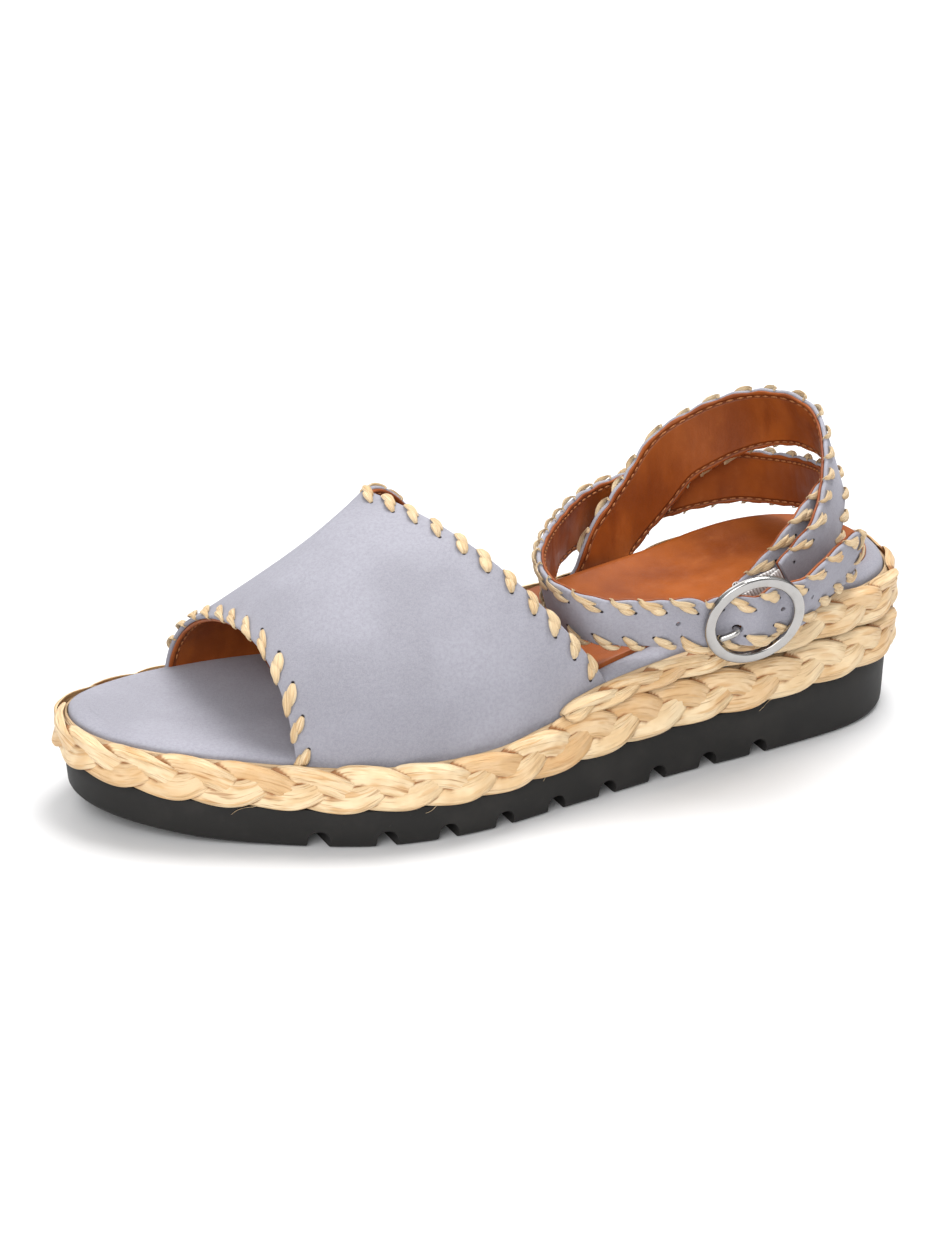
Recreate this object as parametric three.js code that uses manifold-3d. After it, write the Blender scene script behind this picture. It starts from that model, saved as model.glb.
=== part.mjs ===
// A left suede sandal on a raffia-trimmed wedge: open toe, broad vamp, crossed heel and ankle straps with a round buckle.
// Millimetres, +Z up, +X to the toe, +Y to the outer (lateral) side, standing on Z = 0.
import * as THREE from 'three';
import { mergeVertices } from 'three/addons/utils/BufferGeometryUtils.js';
import Module from 'manifold-3d';

const wasm = await Module();
wasm.setup();

// Sole and footbed
const soleLength = 250;
const soleBreadth = 92;
const toeSpring = 6;
const heelRubber = 19.5;
const heelLowerBraid = 32;
const heelUpperBraid = 12.5;
const rubberCorner = 2.2;
const rubberFlare = 0.8;
const grooveCount = 9;
const groovePitch = 17.3;
const grooveWidth = 5.8;
const grooveHeight = 5.2;
const firstGroove = 0.782 * soleLength;
const rimRise = 3;
const rimRoll = 5.5;
const bedDish = 2.6;
const sockInset = 5;
const sockWall = 1.2;
const sockFront = 0.75 * soleLength;
const sockFrontSlant = 0.13;

// Braids
const braidSeat = 1.5;
const braidBody = 1.2;
const braidRelief = 2.6;
const braidScallop = 0.9;
const braidRepeats = 12;
const upperBraidRepeats = 6;

// Upper
const vampWall = 2.6;
const vampTuck = 6;
const vampFrontHeight = 29.3;
const vampRearHeight = 56.3;
const vampLateralFullness = 2.3;
const vampMedialFullness = 2;
const heelStrapWidth = 19.5;
const ankleStrapWidth = 17.3;
const strapWall = 2.2;
const strapTuck = 6;
const footSlope = 0.5;
const strapRise = 40;
const elasticWidth = 16;
const elasticWall = 0.8;

// Buckle
const ringRadius = 15;
const ringBand = 3.3;
const ringWall = 2.2;
const barRadius = 1;
const barDrop = 4.4;
const sleeveWall = 1;
const prongRadius = 1;
const prongHole = 5.3;

const clearance = 0.3;
const outlineSteps = 96;

// The outline of the rubber's top edge, seen from above: shares of the sole's length and breadth
const outlineTable = [
  { along: 0.000, out: -0.010 },
  { along: 0.024, out: 0.200 },
  { along: 0.088, out: 0.320 },
  { along: 0.200, out: 0.378 },
  { along: 0.340, out: 0.416 },
  { along: 0.480, out: 0.477 },
  { along: 0.608, out: 0.527 },
  { along: 0.720, out: 0.491 },
  { along: 0.828, out: 0.348 },
  { along: 0.924, out: 0.193 },
  { along: 0.984, out: 0.020 },
  { along: 1.000, out: -0.160 },
  { along: 0.976, out: -0.315 },
  { along: 0.900, out: -0.421 },
  { along: 0.792, out: -0.474 },
  { along: 0.672, out: -0.437 },
  { along: 0.552, out: -0.363 },
  { along: 0.432, out: -0.308 },
  { along: 0.304, out: -0.324 },
  { along: 0.184, out: -0.359 },
  { along: 0.080, out: -0.321 },
  { along: 0.022, out: -0.200 },
];

// Heights along the sole, as shares of toeSpring, heelRubber, heelLowerBraid and heelUpperBraid
const profileTable = [
  { along: 0.00, spring: 0.25, rubber: 0.97, lower: 0.98, upper: 1.05 },
  { along: 0.06, spring: 0.03, rubber: 1.00, lower: 1.00, upper: 1.00 },
  { along: 0.14, spring: 0.00, rubber: 0.97, lower: 1.00, upper: 0.945 },
  { along: 0.24, spring: 0.00, rubber: 0.87, lower: 0.965, upper: 0.745 },
  { along: 0.36, spring: 0.00, rubber: 0.83, lower: 0.965, upper: 0.49 },
  { along: 0.44, spring: 0.00, rubber: 0.775, lower: 0.945, upper: 0.29 },
  { along: 0.51, spring: 0.00, rubber: 0.70, lower: 0.885, upper: 0.04 },
  { along: 0.58, spring: 0.00, rubber: 0.62, lower: 0.79, upper: 0.00 },
  { along: 0.70, spring: 0.00, rubber: 0.61, lower: 0.77, upper: 0.00 },
  { along: 0.80, spring: 0.00, rubber: 0.625, lower: 0.785, upper: 0.00 },
  { along: 0.88, spring: 0.20, rubber: 0.68, lower: 0.825, upper: 0.00 },
  { along: 0.95, spring: 0.62, rubber: 0.79, lower: 0.86, upper: 0.00 },
  { along: 1.00, spring: 1.00, rubber: 0.87, lower: 0.89, upper: 0.00 },
];

// The vamp from its front edge to its rear edge: where each section meets the sole on either side and peaks at its
// crown, as shares of the sole's length and breadth, and its height between vampFrontHeight (0) and vampRearHeight (1)
const vampTable = [
  { station: 0.00, lateral: 0.802, crown: 0.818, medial: 0.846, middle: 0.070, rise: 0.00 },
  { station: 0.25, lateral: 0.710, crown: 0.772, medial: 0.752, middle: 0.015, rise: 0.29 },
  { station: 0.50, lateral: 0.618, crown: 0.725, medial: 0.658, middle: -0.045, rise: 0.56 },
  { station: 0.75, lateral: 0.526, crown: 0.678, medial: 0.562, middle: -0.115, rise: 0.81 },
  { station: 1.00, lateral: 0.435, crown: 0.630, medial: 0.465, middle: -0.190, rise: 1.00 },
];

// Middle lines of the straps, counterclockwise seen from above. Along and out are shares of the sole's length and
// breadth, up is a share of strapRise over the rim, and lean tips the strap's top outwards, in degrees
const ankleTable = [
  { along: 0.230, out: 0.357, up: 0.250, lean: 2, side: 1 },
  { along: 0.202, out: 0.363, up: 0.375, lean: -3 },
  { along: 0.174, out: 0.337, up: 0.485, lean: -8 },
  { along: 0.144, out: 0.288, up: 0.560, lean: -12 },
  { along: 0.114, out: 0.217, up: 0.590, lean: -14 },
  { along: 0.092, out: 0.120, up: 0.570, lean: -13 },
  { along: 0.082, out: 0.000, up: 0.515, lean: -11 },
  { along: 0.081, out: -0.120, up: 0.460, lean: -10 },
  { along: 0.097, out: -0.241, up: 0.413, lean: -5 },
  { along: 0.124, out: -0.328, up: 0.396, lean: -1 },
  { along: 0.168, out: -0.379, up: 0.380, lean: 3 },
  { along: 0.216, out: -0.402, up: 0.375, lean: 5 },
  { along: 0.260, out: -0.411, up: 0.378, lean: 5 },
  { along: 0.300, out: -0.386, up: 0.385, lean: 2 },
  { along: 0.338, out: -0.332, up: 0.393, lean: -2 },
  { along: 0.372, out: -0.255, up: 0.400, lean: -6 },
  { along: 0.401, out: -0.151, up: 0.430, lean: 2 },
  { along: 0.426, out: -0.050, up: 0.458, lean: 6 },
  { along: 0.447, out: 0.057, up: 0.495, lean: 10 },
  { along: 0.459, out: 0.159, up: 0.510, lean: 13 },
  { along: 0.462, out: 0.244, up: 0.510, lean: 15 },
  { along: 0.452, out: 0.327, up: 0.482, lean: 17 },
  { along: 0.432, out: 0.384, up: 0.432, lean: 19 },
  { along: 0.403, out: 0.413, up: 0.385, lean: 20 },
  { along: 0.370, out: 0.434, up: 0.337, lean: 19 },
  { along: 0.345, out: 0.447, up: 0.312, lean: 18 },
];

const tailTable = [
  { along: 0.184, out: 0.481, up: 0.280, lean: 15 },
  { along: 0.161, out: 0.446, up: 0.300, lean: 14 },
  { along: 0.133, out: 0.399, up: 0.310, lean: 12 },
  { along: 0.110, out: 0.353, up: 0.302, lean: 11 },
  { along: 0.092, out: 0.315, up: 0.297, lean: 10 },
];

const heelTable = [
  { along: 0.206, out: 0.424, up: 0.320, lean: 4 },
  { along: 0.179, out: 0.402, up: 0.400, lean: 0 },
  { along: 0.156, out: 0.380, up: 0.480, lean: -5 },
  { along: 0.124, out: 0.283, up: 0.610, lean: -13 },
  { along: 0.094, out: 0.152, up: 0.765, lean: -20 },
  { along: 0.079, out: 0.016, up: 0.900, lean: -20 },
  { along: 0.081, out: -0.065, up: 0.945, lean: -20 },
  { along: 0.092, out: -0.147, up: 0.955, lean: -18 },
  { along: 0.112, out: -0.236, up: 0.910, lean: -10 },
  { along: 0.139, out: -0.287, up: 0.855, lean: 2 },
  { along: 0.169, out: -0.332, up: 0.770, lean: 8 },
  { along: 0.203, out: -0.362, up: 0.665, lean: 11 },
  { along: 0.236, out: -0.359, up: 0.470, lean: 12 },
  { along: 0.269, out: -0.335, up: 0.320, lean: 2, side: -1 },
  { along: 0.296, out: -0.305, up: 0.192, lean: 0, side: -1 },
];

const heelBase = { along: 0.312, side: -1 };
const ankleBase = { along: 0.268, side: 1 };
const buckleAt = { along: 0.267, out: 0.517, up: 0.250, lean: 15.5, turn: 5.8, climb: 28, strapClimb: 6 };

// A column of a table at a given place between its rows, with smooth slopes
function readTable(rows, key, column, place) {
  const last = rows.length - 1;
  const at = Math.min(Math.max(place, rows[0][key]), rows[last][key]);
  let i = 0;
  while (i < last - 1 && at > rows[i + 1][key]) i += 1;
  const a = rows[i];
  const b = rows[i + 1];
  const before = rows[Math.max(i - 1, 0)];
  const after = rows[Math.min(i + 2, last)];
  const span = b[key] - a[key];
  const slopeA = (b[column] - before[column]) / (b[key] - before[key]);
  const slopeB = (after[column] - a[column]) / (after[key] - a[key]);
  const t = (at - a[key]) / span;
  const bend = t * t * (3 - 2 * t);
  return a[column] * (1 - bend) + b[column] * bend + span * t * (1 - t) * ((1 - t) * slopeA - t * slopeB);
}

const groundHeight = (x) => toeSpring * Math.max(0, readTable(profileTable, 'along', 'spring', x / soleLength));
const rubberHeight = (x) => heelRubber * readTable(profileTable, 'along', 'rubber', x / soleLength);
const lowerHeight = (x) => heelLowerBraid * readTable(profileTable, 'along', 'lower', x / soleLength);
const upperHeight = (x) => heelUpperBraid * Math.max(0, readTable(profileTable, 'along', 'upper', x / soleLength));
const rimHeight = (x) => lowerHeight(x) + upperHeight(x);

// The outline as a closed curve, clockwise seen from above, from the back of the heel along the lateral side
const outline = new THREE.CatmullRomCurve3(
  outlineTable.map((row) => new THREE.Vector3(row.along * soleLength, row.out * soleBreadth, 0)),
  true,
  'catmullrom',
  0.5,
);
outline.arcLengthDivisions = 1200;

// A point of the outline at a share of its length, moved outwards
function edgePoint(share, offset) {
  const point = outline.getPointAt(share);
  const way = outline.getTangentAt(share);
  return new THREE.Vector2(point.x - way.y * offset, point.y + way.x * offset);
}

// The share of the outline where its offset curve reaches a place along the sole, on the lateral (1) or medial (-1) side
function edgeShare(x, side, offset = 0) {
  let near = side > 0 ? 0 : 1;
  let far = 0.49;
  for (let step = 0; step < 40; step += 1) {
    const middle = (near + far) / 2;
    if (edgePoint(middle, offset).x < x) near = middle;
    else far = middle;
  }
  return (near + far) / 2;
}

function edgeSide(x, side, offset) {
  return edgePoint(edgeShare(x, side, offset), offset).y;
}

// A ring of points round the outline, with its height from the place along the sole
function edgeRing(offset, heightOf, steps = outlineSteps) {
  const ring = [];
  for (let i = 0; i < steps; i += 1) {
    const p = edgePoint(i / steps, offset);
    ring.push(new THREE.Vector3(p.x, p.y, heightOf(p.x)));
  }
  return ring;
}

// A geometry of shared corners whose faces point outwards
function closedGeometry(points, faces) {
  let volume = 0;
  for (const [a, b, c] of faces) {
    volume += points[a].dot(new THREE.Vector3().crossVectors(points[b], points[c]));
  }
  const turned = volume < 0 ? faces.map(([a, b, c]) => [a, c, b]) : faces;
  const geometry = new THREE.BufferGeometry();
  geometry.setAttribute('position', new THREE.Float32BufferAttribute(points.flatMap((p) => p.toArray()), 3));
  geometry.setIndex(turned.flat());
  return geometry;
}

// Rungs across a ring, from its lateral half to its medial half, with cells across them and a height for each corner
function closeRing(points, faces, ring, cells, heightOf, facesUp) {
  const half = ring.length / 2;
  const rungs = [];
  for (let i = 1; i < half; i += 1) {
    const rung = [ring[i]];
    const a = points[ring[i]];
    const b = points[ring[ring.length - i]];
    for (let j = 1; j < cells; j += 1) {
      const p = new THREE.Vector3().lerpVectors(a, b, j / cells);
      p.z = heightOf(p, j / cells);
      rung.push(points.push(p) - 1);
    }
    rung.push(ring[ring.length - i]);
    rungs.push(rung);
  }
  const add = (a, b, c) => faces.push(facesUp ? [a, b, c] : [a, c, b]);
  const first = rungs[0];
  const final = rungs[rungs.length - 1];
  for (let j = 0; j < cells; j += 1) {
    add(ring[0], first[j + 1], first[j]);
    add(ring[half], final[j], final[j + 1]);
    for (let i = 0; i < rungs.length - 1; i += 1) {
      add(rungs[i][j], rungs[i][j + 1], rungs[i + 1][j + 1]);
      add(rungs[i][j], rungs[i + 1][j + 1], rungs[i + 1][j]);
    }
  }
}

// A closed solid over rings from the lowest to the highest
function ringSolid(rings, cells, topHeight, bottomHeight) {
  const count = rings[0].length;
  const points = rings.flat();
  const faces = [];
  for (let r = 0; r < rings.length - 1; r += 1) {
    for (let i = 0; i < count; i += 1) {
      const next = (i + 1) % count;
      const low = r * count;
      const high = low + count;
      faces.push([low + i, high + i, high + next]);
      faces.push([low + i, high + next, low + next]);
    }
  }
  const lowest = rings[0].map((_, i) => i);
  const highest = lowest.map((i) => i + (rings.length - 1) * count);
  closeRing(points, faces, lowest, bottomHeight ? cells : 1, bottomHeight, false);
  closeRing(points, faces, highest, topHeight ? cells : 1, topHeight, true);
  return closedGeometry(points, faces);
}

// A closed solid through loops, each an outer row followed by the inner row backwards; joined end to end if it wraps
function loopSolid(loops, wraps) {
  const count = loops[0].length;
  const points = loops.flat();
  const faces = [];
  const spans = wraps ? loops.length : loops.length - 1;
  for (let s = 0; s < spans; s += 1) {
    const here = s * count;
    const there = ((s + 1) % loops.length) * count;
    for (let i = 0; i < count; i += 1) {
      const next = (i + 1) % count;
      faces.push([here + i, there + i, there + next]);
      faces.push([here + i, there + next, here + next]);
    }
  }
  if (!wraps) {
    const end = (loops.length - 1) * count;
    for (let i = 0; i < count / 2 - 1; i += 1) {
      const back = count - 1 - i;
      faces.push([i, i + 1, back - 1], [i, back - 1, back]);
      faces.push([end + i, end + back - 1, end + i + 1], [end + i, end + back, end + back - 1]);
    }
  }
  return closedGeometry(points, faces);
}

function toManifold(geometry) {
  const bare = geometry.clone();
  bare.deleteAttribute('normal');
  bare.deleteAttribute('uv');
  const merged = mergeVertices(bare, 1e-5);
  return new wasm.Manifold(new wasm.Mesh({
    numProp: 3,
    vertProperties: new Float32Array(merged.attributes.position.array),
    triVerts: new Uint32Array(merged.index.array),
  }));
}

function toGeometry(manifold) {
  const mesh = manifold.getMesh();
  const geometry = new THREE.BufferGeometry();
  geometry.setAttribute('position', new THREE.Float32BufferAttribute(mesh.vertProperties, 3));
  geometry.setIndex(Array.from(mesh.triVerts));
  return geometry;
}

function cut(body, ...tools) {
  return toGeometry(tools.reduce((left, tool) => left.subtract(toManifold(tool)), toManifold(body)));
}

function join(...pieces) {
  return toGeometry(pieces.map(toManifold).reduce((all, piece) => all.add(piece)));
}

// Rubber unit with rounded lower corner, flat under heel and forefoot, and grooves across it
function makeOutsole() {
  const rings = [
    edgeRing(-rubberCorner - rubberFlare, groundHeight),
    edgeRing(-rubberCorner * 0.3 - rubberFlare, (x) => groundHeight(x) + rubberCorner * 0.3),
    edgeRing(-rubberFlare, (x) => groundHeight(x) + rubberCorner),
    edgeRing(0, rubberHeight),
  ];
  const grooves = [];
  for (let i = 0; i < grooveCount; i += 1) {
    const arch = new THREE.Shape();
    const x = firstGroove - i * groovePitch;
    arch.moveTo(x - grooveWidth / 2, -grooveHeight);
    arch.lineTo(x - grooveWidth / 2, grooveHeight - grooveWidth / 2);
    arch.absarc(x, grooveHeight - grooveWidth / 2, grooveWidth / 2, Math.PI, 0, true);
    arch.lineTo(x + grooveWidth / 2, -grooveHeight);
    const groove = new THREE.ExtrudeGeometry(arch, { depth: 2 * soleBreadth, bevelEnabled: false, curveSegments: 4 });
    grooves.push(groove.rotateX(Math.PI / 2).translate(0, soleBreadth, 0));
  }
  return cut(ringSolid(rings, 1), ...grooves);
}

// How far the footbed's top stands over the rim at its crest, less towards the toe
function crestRise(x) {
  const share = THREE.MathUtils.smoothstep(x / soleLength, 0.42, 0.62);
  return rimRise * (1 - 0.35 * share);
}

// How far the footbed's top sinks in its middle: a cup at the heel, nearly flat at the ball
function dishDepth(x, across) {
  const share = THREE.MathUtils.smoothstep(x / soleLength, 0.3, 0.65);
  const end = THREE.MathUtils.smoothstep(x, rimRoll, rimRoll + 0.16 * soleLength);
  return bedDish * (1 - 0.8 * share) * end * 4 * across * (1 - across);
}

const bedCells = 4;

function bedRings(lift) {
  const inset = braidSeat + clearance;
  return [
    edgeRing(-inset, (x) => rubberHeight(x) + clearance),
    edgeRing(-inset, (x) => rimHeight(x) + lift),
    edgeRing(-inset - rimRoll * 0.13, (x) => rimHeight(x) + crestRise(x) * 0.45 + lift),
    edgeRing(-inset - rimRoll * 0.45, (x) => rimHeight(x) + crestRise(x) * 0.86 + lift),
    edgeRing(-inset - rimRoll, (x) => rimHeight(x) + crestRise(x) + lift),
  ];
}

function makeFootbed() {
  return ringSolid(bedRings(0), bedCells, (p, across) => p.z - dishDepth(p.x, across));
}

// Leather cover on the footbed's top, cut off under the vamp
function makeSock() {
  const place = -braidSeat - clearance - sockInset;
  const low = edgeRing(place, (x) => rimHeight(x) + crestRise(x) + clearance);
  const high = edgeRing(place, (x) => rimHeight(x) + crestRise(x) + clearance + sockWall);
  const sunk = (p, across) => p.z - dishDepth(p.x, across);
  const front = new THREE.BoxGeometry(soleLength, 2 * soleBreadth, 4 * heelLowerBraid);
  front.rotateZ(-Math.atan(sockFrontSlant)).translate(sockFront + soleLength / 2, 0, 0);
  return cut(ringSolid([low, high], bedCells, sunk, sunk), front);
}

// Height of a three-strand plait over its back, at a phase along it and a place across it from -1 to 1
function plaitRelief(phase, across) {
  let relief = -1;
  for (let strand = 0; strand < 3; strand += 1) {
    const turn = phase + (strand * 2 * Math.PI) / 3;
    const away = (across - 0.5 * Math.sin(turn)) / 0.56;
    if (Math.abs(away) < 1) relief = Math.max(relief, 0.45 * Math.sin(2 * turn) + Math.sqrt(1 - away * away));
  }
  return Math.max(0, relief) / 1.45;
}

// How far the plait's edge reaches out at a phase, on its upper (1) or lower (-1) edge
function plaitEdge(phase, side) {
  let reach = 0;
  for (let strand = 0; strand < 3; strand += 1) {
    reach = Math.max(reach, side * Math.sin(phase + (strand * 2 * Math.PI) / 3));
  }
  return 2 * reach - 1.5;
}

// One section of a braid: a flat back on the side wall and a front with raised strands
function braidLoop(share, phase, low, high, cells, fullness) {
  const top = high + braidScallop * plaitEdge(phase, 1) * fullness;
  const bottom = low + braidScallop * 0.5 * (1 - plaitEdge(phase, -1)) * fullness;
  const front = [];
  for (let j = 0; j <= cells; j += 1) {
    const across = -1 + (2 * j) / cells;
    const round = Math.sqrt(Math.max(0, 1 - across ** 4));
    const out = braidBody * (0.35 + 0.65 * round) + braidRelief * plaitRelief(phase, across) * fullness;
    const p = edgePoint(share, out);
    front.push(new THREE.Vector3(p.x, p.y, THREE.MathUtils.lerp(bottom, top, j / cells)));
  }
  const back = edgePoint(share, -braidSeat);
  const backRow = front.map((p) => new THREE.Vector3(back.x, back.y, p.z));
  return [...front, ...backRow.reverse()];
}

function makeLowerBraid() {
  const steps = 132;
  const loops = [];
  for (let i = 0; i < steps; i += 1) {
    const share = i / steps;
    const x = outline.getPointAt(share).x;
    const phase = 2 * Math.PI * braidRepeats * share;
    loops.push(braidLoop(share, phase, rubberHeight(x) + clearance, lowerHeight(x), 4, 1));
  }
  return loopSolid(loops, true);
}

// From the vamp's rear corner on the medial side round the heel to the lateral one, thin at both ends
function makeUpperBraid() {
  const steps = 72;
  const reach = 0.5 * soleLength;
  const from = edgeShare(reach, -1) - 1;
  const to = edgeShare(reach, 1);
  const loops = [];
  for (let i = 0; i <= steps; i += 1) {
    const part = i / steps;
    const share = THREE.MathUtils.lerp(from, to, part);
    const x = outline.getPointAt((share + 1) % 1).x;
    const phase = 2 * Math.PI * upperBraidRepeats * part;
    const low = lowerHeight(x) + braidScallop + clearance;
    const high = Math.max(rimHeight(x), low + 1);
    const fullness = Math.min(1, (high - low) / (0.6 * heelUpperBraid));
    loops.push(braidLoop((share + 1) % 1, phase, low, high, 4, fullness));
  }
  return loopSolid(loops, false);
}

// A point of the vamp's outer skin: station 0 front to 1 rear, angle 0 lateral base to 180 medial base
function vampPoint(station, angle) {
  const at = (column) => readTable(vampTable, 'station', column, station);
  const side = angle < 90 ? 1 : -1;
  const climb = angle < 90 ? angle / 90 : (180 - angle) / 90;
  const foot = side > 0 ? at('lateral') : at('medial');
  const x = soleLength * THREE.MathUtils.lerp(foot, at('crown'), climb);
  const base = edgeSide(x, side, -braidSeat - clearance);
  const middle = at('middle') * soleBreadth;
  const power = 2 / (side > 0 ? vampLateralFullness : vampMedialFullness);
  const wide = Math.max(0, Math.cos((climb * Math.PI) / 2)) ** power;
  const tall = Math.sin((climb * Math.PI) / 2) ** power;
  const crown = rimHeight(soleLength * at('crown')) + THREE.MathUtils.lerp(vampFrontHeight, vampRearHeight, at('rise'));
  const floor = rimHeight(x);
  return new THREE.Vector3(x, middle + (base - middle) * wide, floor + (crown - floor) * tall);
}

function vampNormal(station, angle) {
  const step = 0.01;
  const a = Math.max(0, station - step);
  const b = Math.min(1, station + step);
  const low = Math.max(0, angle - 1);
  const high = Math.min(180, angle + 1);
  const along = vampPoint(b, angle).sub(vampPoint(a, angle));
  const around = vampPoint(station, high).sub(vampPoint(station, low));
  return along.cross(around).normalize();
}

// The vamp's shell, from a skin moved out by grow to one that lies a wall and twice grow further in
function vampShell(grow, tuck) {
  const stations = 10;
  const angles = [0, 6, 14, 24, 36, 50, 65, 80, 95, 110, 125, 140, 152, 162, 170, 176, 180];
  const loops = [];
  for (let s = 0; s <= stations; s += 1) {
    const station = s / stations;
    const outer = [];
    const inner = [];
    for (const angle of angles) {
      const point = vampPoint(station, angle);
      const normal = vampNormal(station, angle);
      if (angle === 0 || angle === 180) normal.setZ(0).normalize();
      outer.push(point.clone().addScaledVector(normal, grow));
      inner.push(point.clone().addScaledVector(normal, -vampWall - grow));
    }
    for (const row of [outer, inner]) {
      row.unshift(row[0].clone().setZ(row[0].z - tuck));
      row.push(row[row.length - 1].clone().setZ(row[row.length - 1].z - tuck));
    }
    loops.push([...outer, ...inner.reverse()]);
  }
  return loopSolid(loops, false);
}

// The outward direction of the side wall, seen from above
function wallFace(x, side) {
  const step = 5;
  const rise = edgeSide(x + step, side, 0) - edgeSide(x - step, side, 0);
  return new THREE.Vector3(-rise, 2 * step, 0).multiplyScalar(side).normalize();
}

// A place on a strap's middle line; a row with a side faces out as the wall below it does
function tablePoint(row) {
  const x = row.along * soleLength;
  return {
    place: new THREE.Vector3(x, row.out * soleBreadth, rimHeight(x) + row.up * strapRise),
    lean: row.lean,
    face: row.side ? wallFace(x, row.side) : null,
  };
}

// A strap's foot: along the side wall, sloping up to the heel, from a depth in its slot to a height over the rim
function footPoint(base, lift) {
  const x = base.along * soleLength;
  const y = edgeSide(x, base.side, -braidSeat - 2 * clearance - strapWall / 2);
  return {
    place: new THREE.Vector3(x - footSlope * lift, y, rimHeight(x) + lift),
    lean: 0,
    face: wallFace(x, base.side),
  };
}

// The buckle's own frame: its middle, its outward face, and the ways in its plane of the pull on its bar and of the
// strap, both back and up
const buckle = (() => {
  const lean = THREE.MathUtils.degToRad(buckleAt.lean);
  const turn = THREE.MathUtils.degToRad(buckleAt.turn);
  const face = new THREE.Vector3(Math.sin(turn) * Math.cos(lean), Math.cos(turn) * Math.cos(lean), -Math.sin(lean));
  const back = new THREE.Vector3(0, 0, 1).cross(face).normalize();
  const up = face.clone().cross(back);
  const inPlane = (degrees) => {
    const angle = THREE.MathUtils.degToRad(degrees);
    return back.clone().multiplyScalar(Math.cos(angle)).addScaledVector(up, Math.sin(angle));
  };
  const way = inPlane(buckleAt.climb);
  return {
    middle: tablePoint(buckleAt).place,
    way,
    strapWay: inPlane(buckleAt.strapClimb),
    bar: way.clone().cross(face),
    face,
  };
})();

// The directions across a strap and out of its face, for its way, the side it faces and its lean
function leanFrame(way, face, lean) {
  const out = face.clone().addScaledVector(way, -face.dot(way)).normalize();
  const up = out.clone().cross(way);
  const angle = THREE.MathUtils.degToRad(lean);
  return {
    up: up.clone().multiplyScalar(Math.cos(angle)).addScaledVector(out, Math.sin(angle)),
    out: out.clone().multiplyScalar(Math.cos(angle)).addScaledVector(up, -Math.sin(angle)),
  };
}

// The ankle strap under the ring's front, over the bar and under the ring's back
function throughBuckle() {
  const underRing = -(ringWall / 2 + 2 * clearance + strapWall / 2);
  const overBar = -barDrop + barRadius + 6 * clearance + elasticWall + strapWall / 2;
  const inner = ringRadius - ringBand;
  const narrow = Math.sqrt(inner ** 2 - (ankleStrapWidth / 2) ** 2);
  return [
    [-ringRadius, underRing],
    [-narrow, underRing],
    [0, overBar],
    [narrow, underRing],
    [ringRadius, underRing],
  ].map(([along, out]) => ({
    place: buckle.middle.clone().addScaledVector(buckle.strapWay, along).addScaledVector(buckle.face, out),
    lean: buckleAt.lean,
  }));
}

const anklePath = [
  footPoint(ankleBase, -strapTuck),
  footPoint(ankleBase, 0),
  footPoint(ankleBase, rimRise),
  ...ankleTable.map(tablePoint),
  ...throughBuckle(),
  ...tailTable.map(tablePoint),
];

const heelPath = [
  ...heelTable.map(tablePoint),
  footPoint(heelBase, rimRise),
  footPoint(heelBase, 0),
  footPoint(heelBase, -strapTuck),
];

// A flat strap along a path, with its ends square or its last end round
function ribbon(path, width, wall, step, roundEnd = 0) {
  const curve = new THREE.CatmullRomCurve3(path.map((p) => p.place), false, 'centripetal');
  curve.arcLengthDivisions = 100 * path.length;
  const length = curve.getLength();
  const faces = path.map((p, row) => {
    const way = curve.getTangent(row / (path.length - 1));
    return p.face ?? new THREE.Vector3(way.y, -way.x, 0).normalize();
  });
  const shares = [];
  const count = Math.round((length - roundEnd) / step);
  for (let i = 0; i <= count; i += 1) shares.push((i / count) * (1 - roundEnd / length));
  if (roundEnd) {
    for (const part of [0.35, 0.65, 0.87, 0.985]) shares.push(1 - (1 - part) * (roundEnd / length));
  }
  const loops = shares.map((share) => {
    const time = curve.getUtoTmapping(share);
    const place = time * (path.length - 1);
    const row = Math.min(Math.floor(place), path.length - 2);
    const lean = THREE.MathUtils.lerp(path[row].lean, path[row + 1].lean, place - row);
    const face = faces[row].clone().lerp(faces[row + 1], place - row);
    const { up, out } = leanFrame(curve.getTangent(time), face, lean);
    const left = length * (1 - share);
    const narrow = left < roundEnd ? Math.sqrt(1 - (1 - left / roundEnd) ** 2) : 1;
    const middle = curve.getPoint(time);
    const corner = (across, outwards) => middle.clone()
      .addScaledVector(up, (across * width * narrow) / 2)
      .addScaledVector(out, outwards * wall / 2);
    return [corner(-1, 0.8), corner(0, 1), corner(1, 0.8), corner(1, -0.8), corner(0, -1), corner(-1, -0.8)];
  });
  return loopSolid(loops, false);
}

// A round rod between two points
function rod(from, to, radius) {
  const way = to.clone().sub(from);
  const geometry = new THREE.CylinderGeometry(radius, radius, way.length(), 12);
  geometry.translate(0, way.length() / 2, 0);
  geometry.applyQuaternion(new THREE.Quaternion().setFromUnitVectors(new THREE.Vector3(0, 1, 0), way.normalize()));
  return geometry.translate(from.x, from.y, from.z);
}

// A point in the buckle's frame: along the strap, along the bar and out of its face
function bucklePoint(along, across, out) {
  return buckle.middle.clone()
    .addScaledVector(buckle.way, along)
    .addScaledVector(buckle.bar, across)
    .addScaledVector(buckle.face, out);
}

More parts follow.
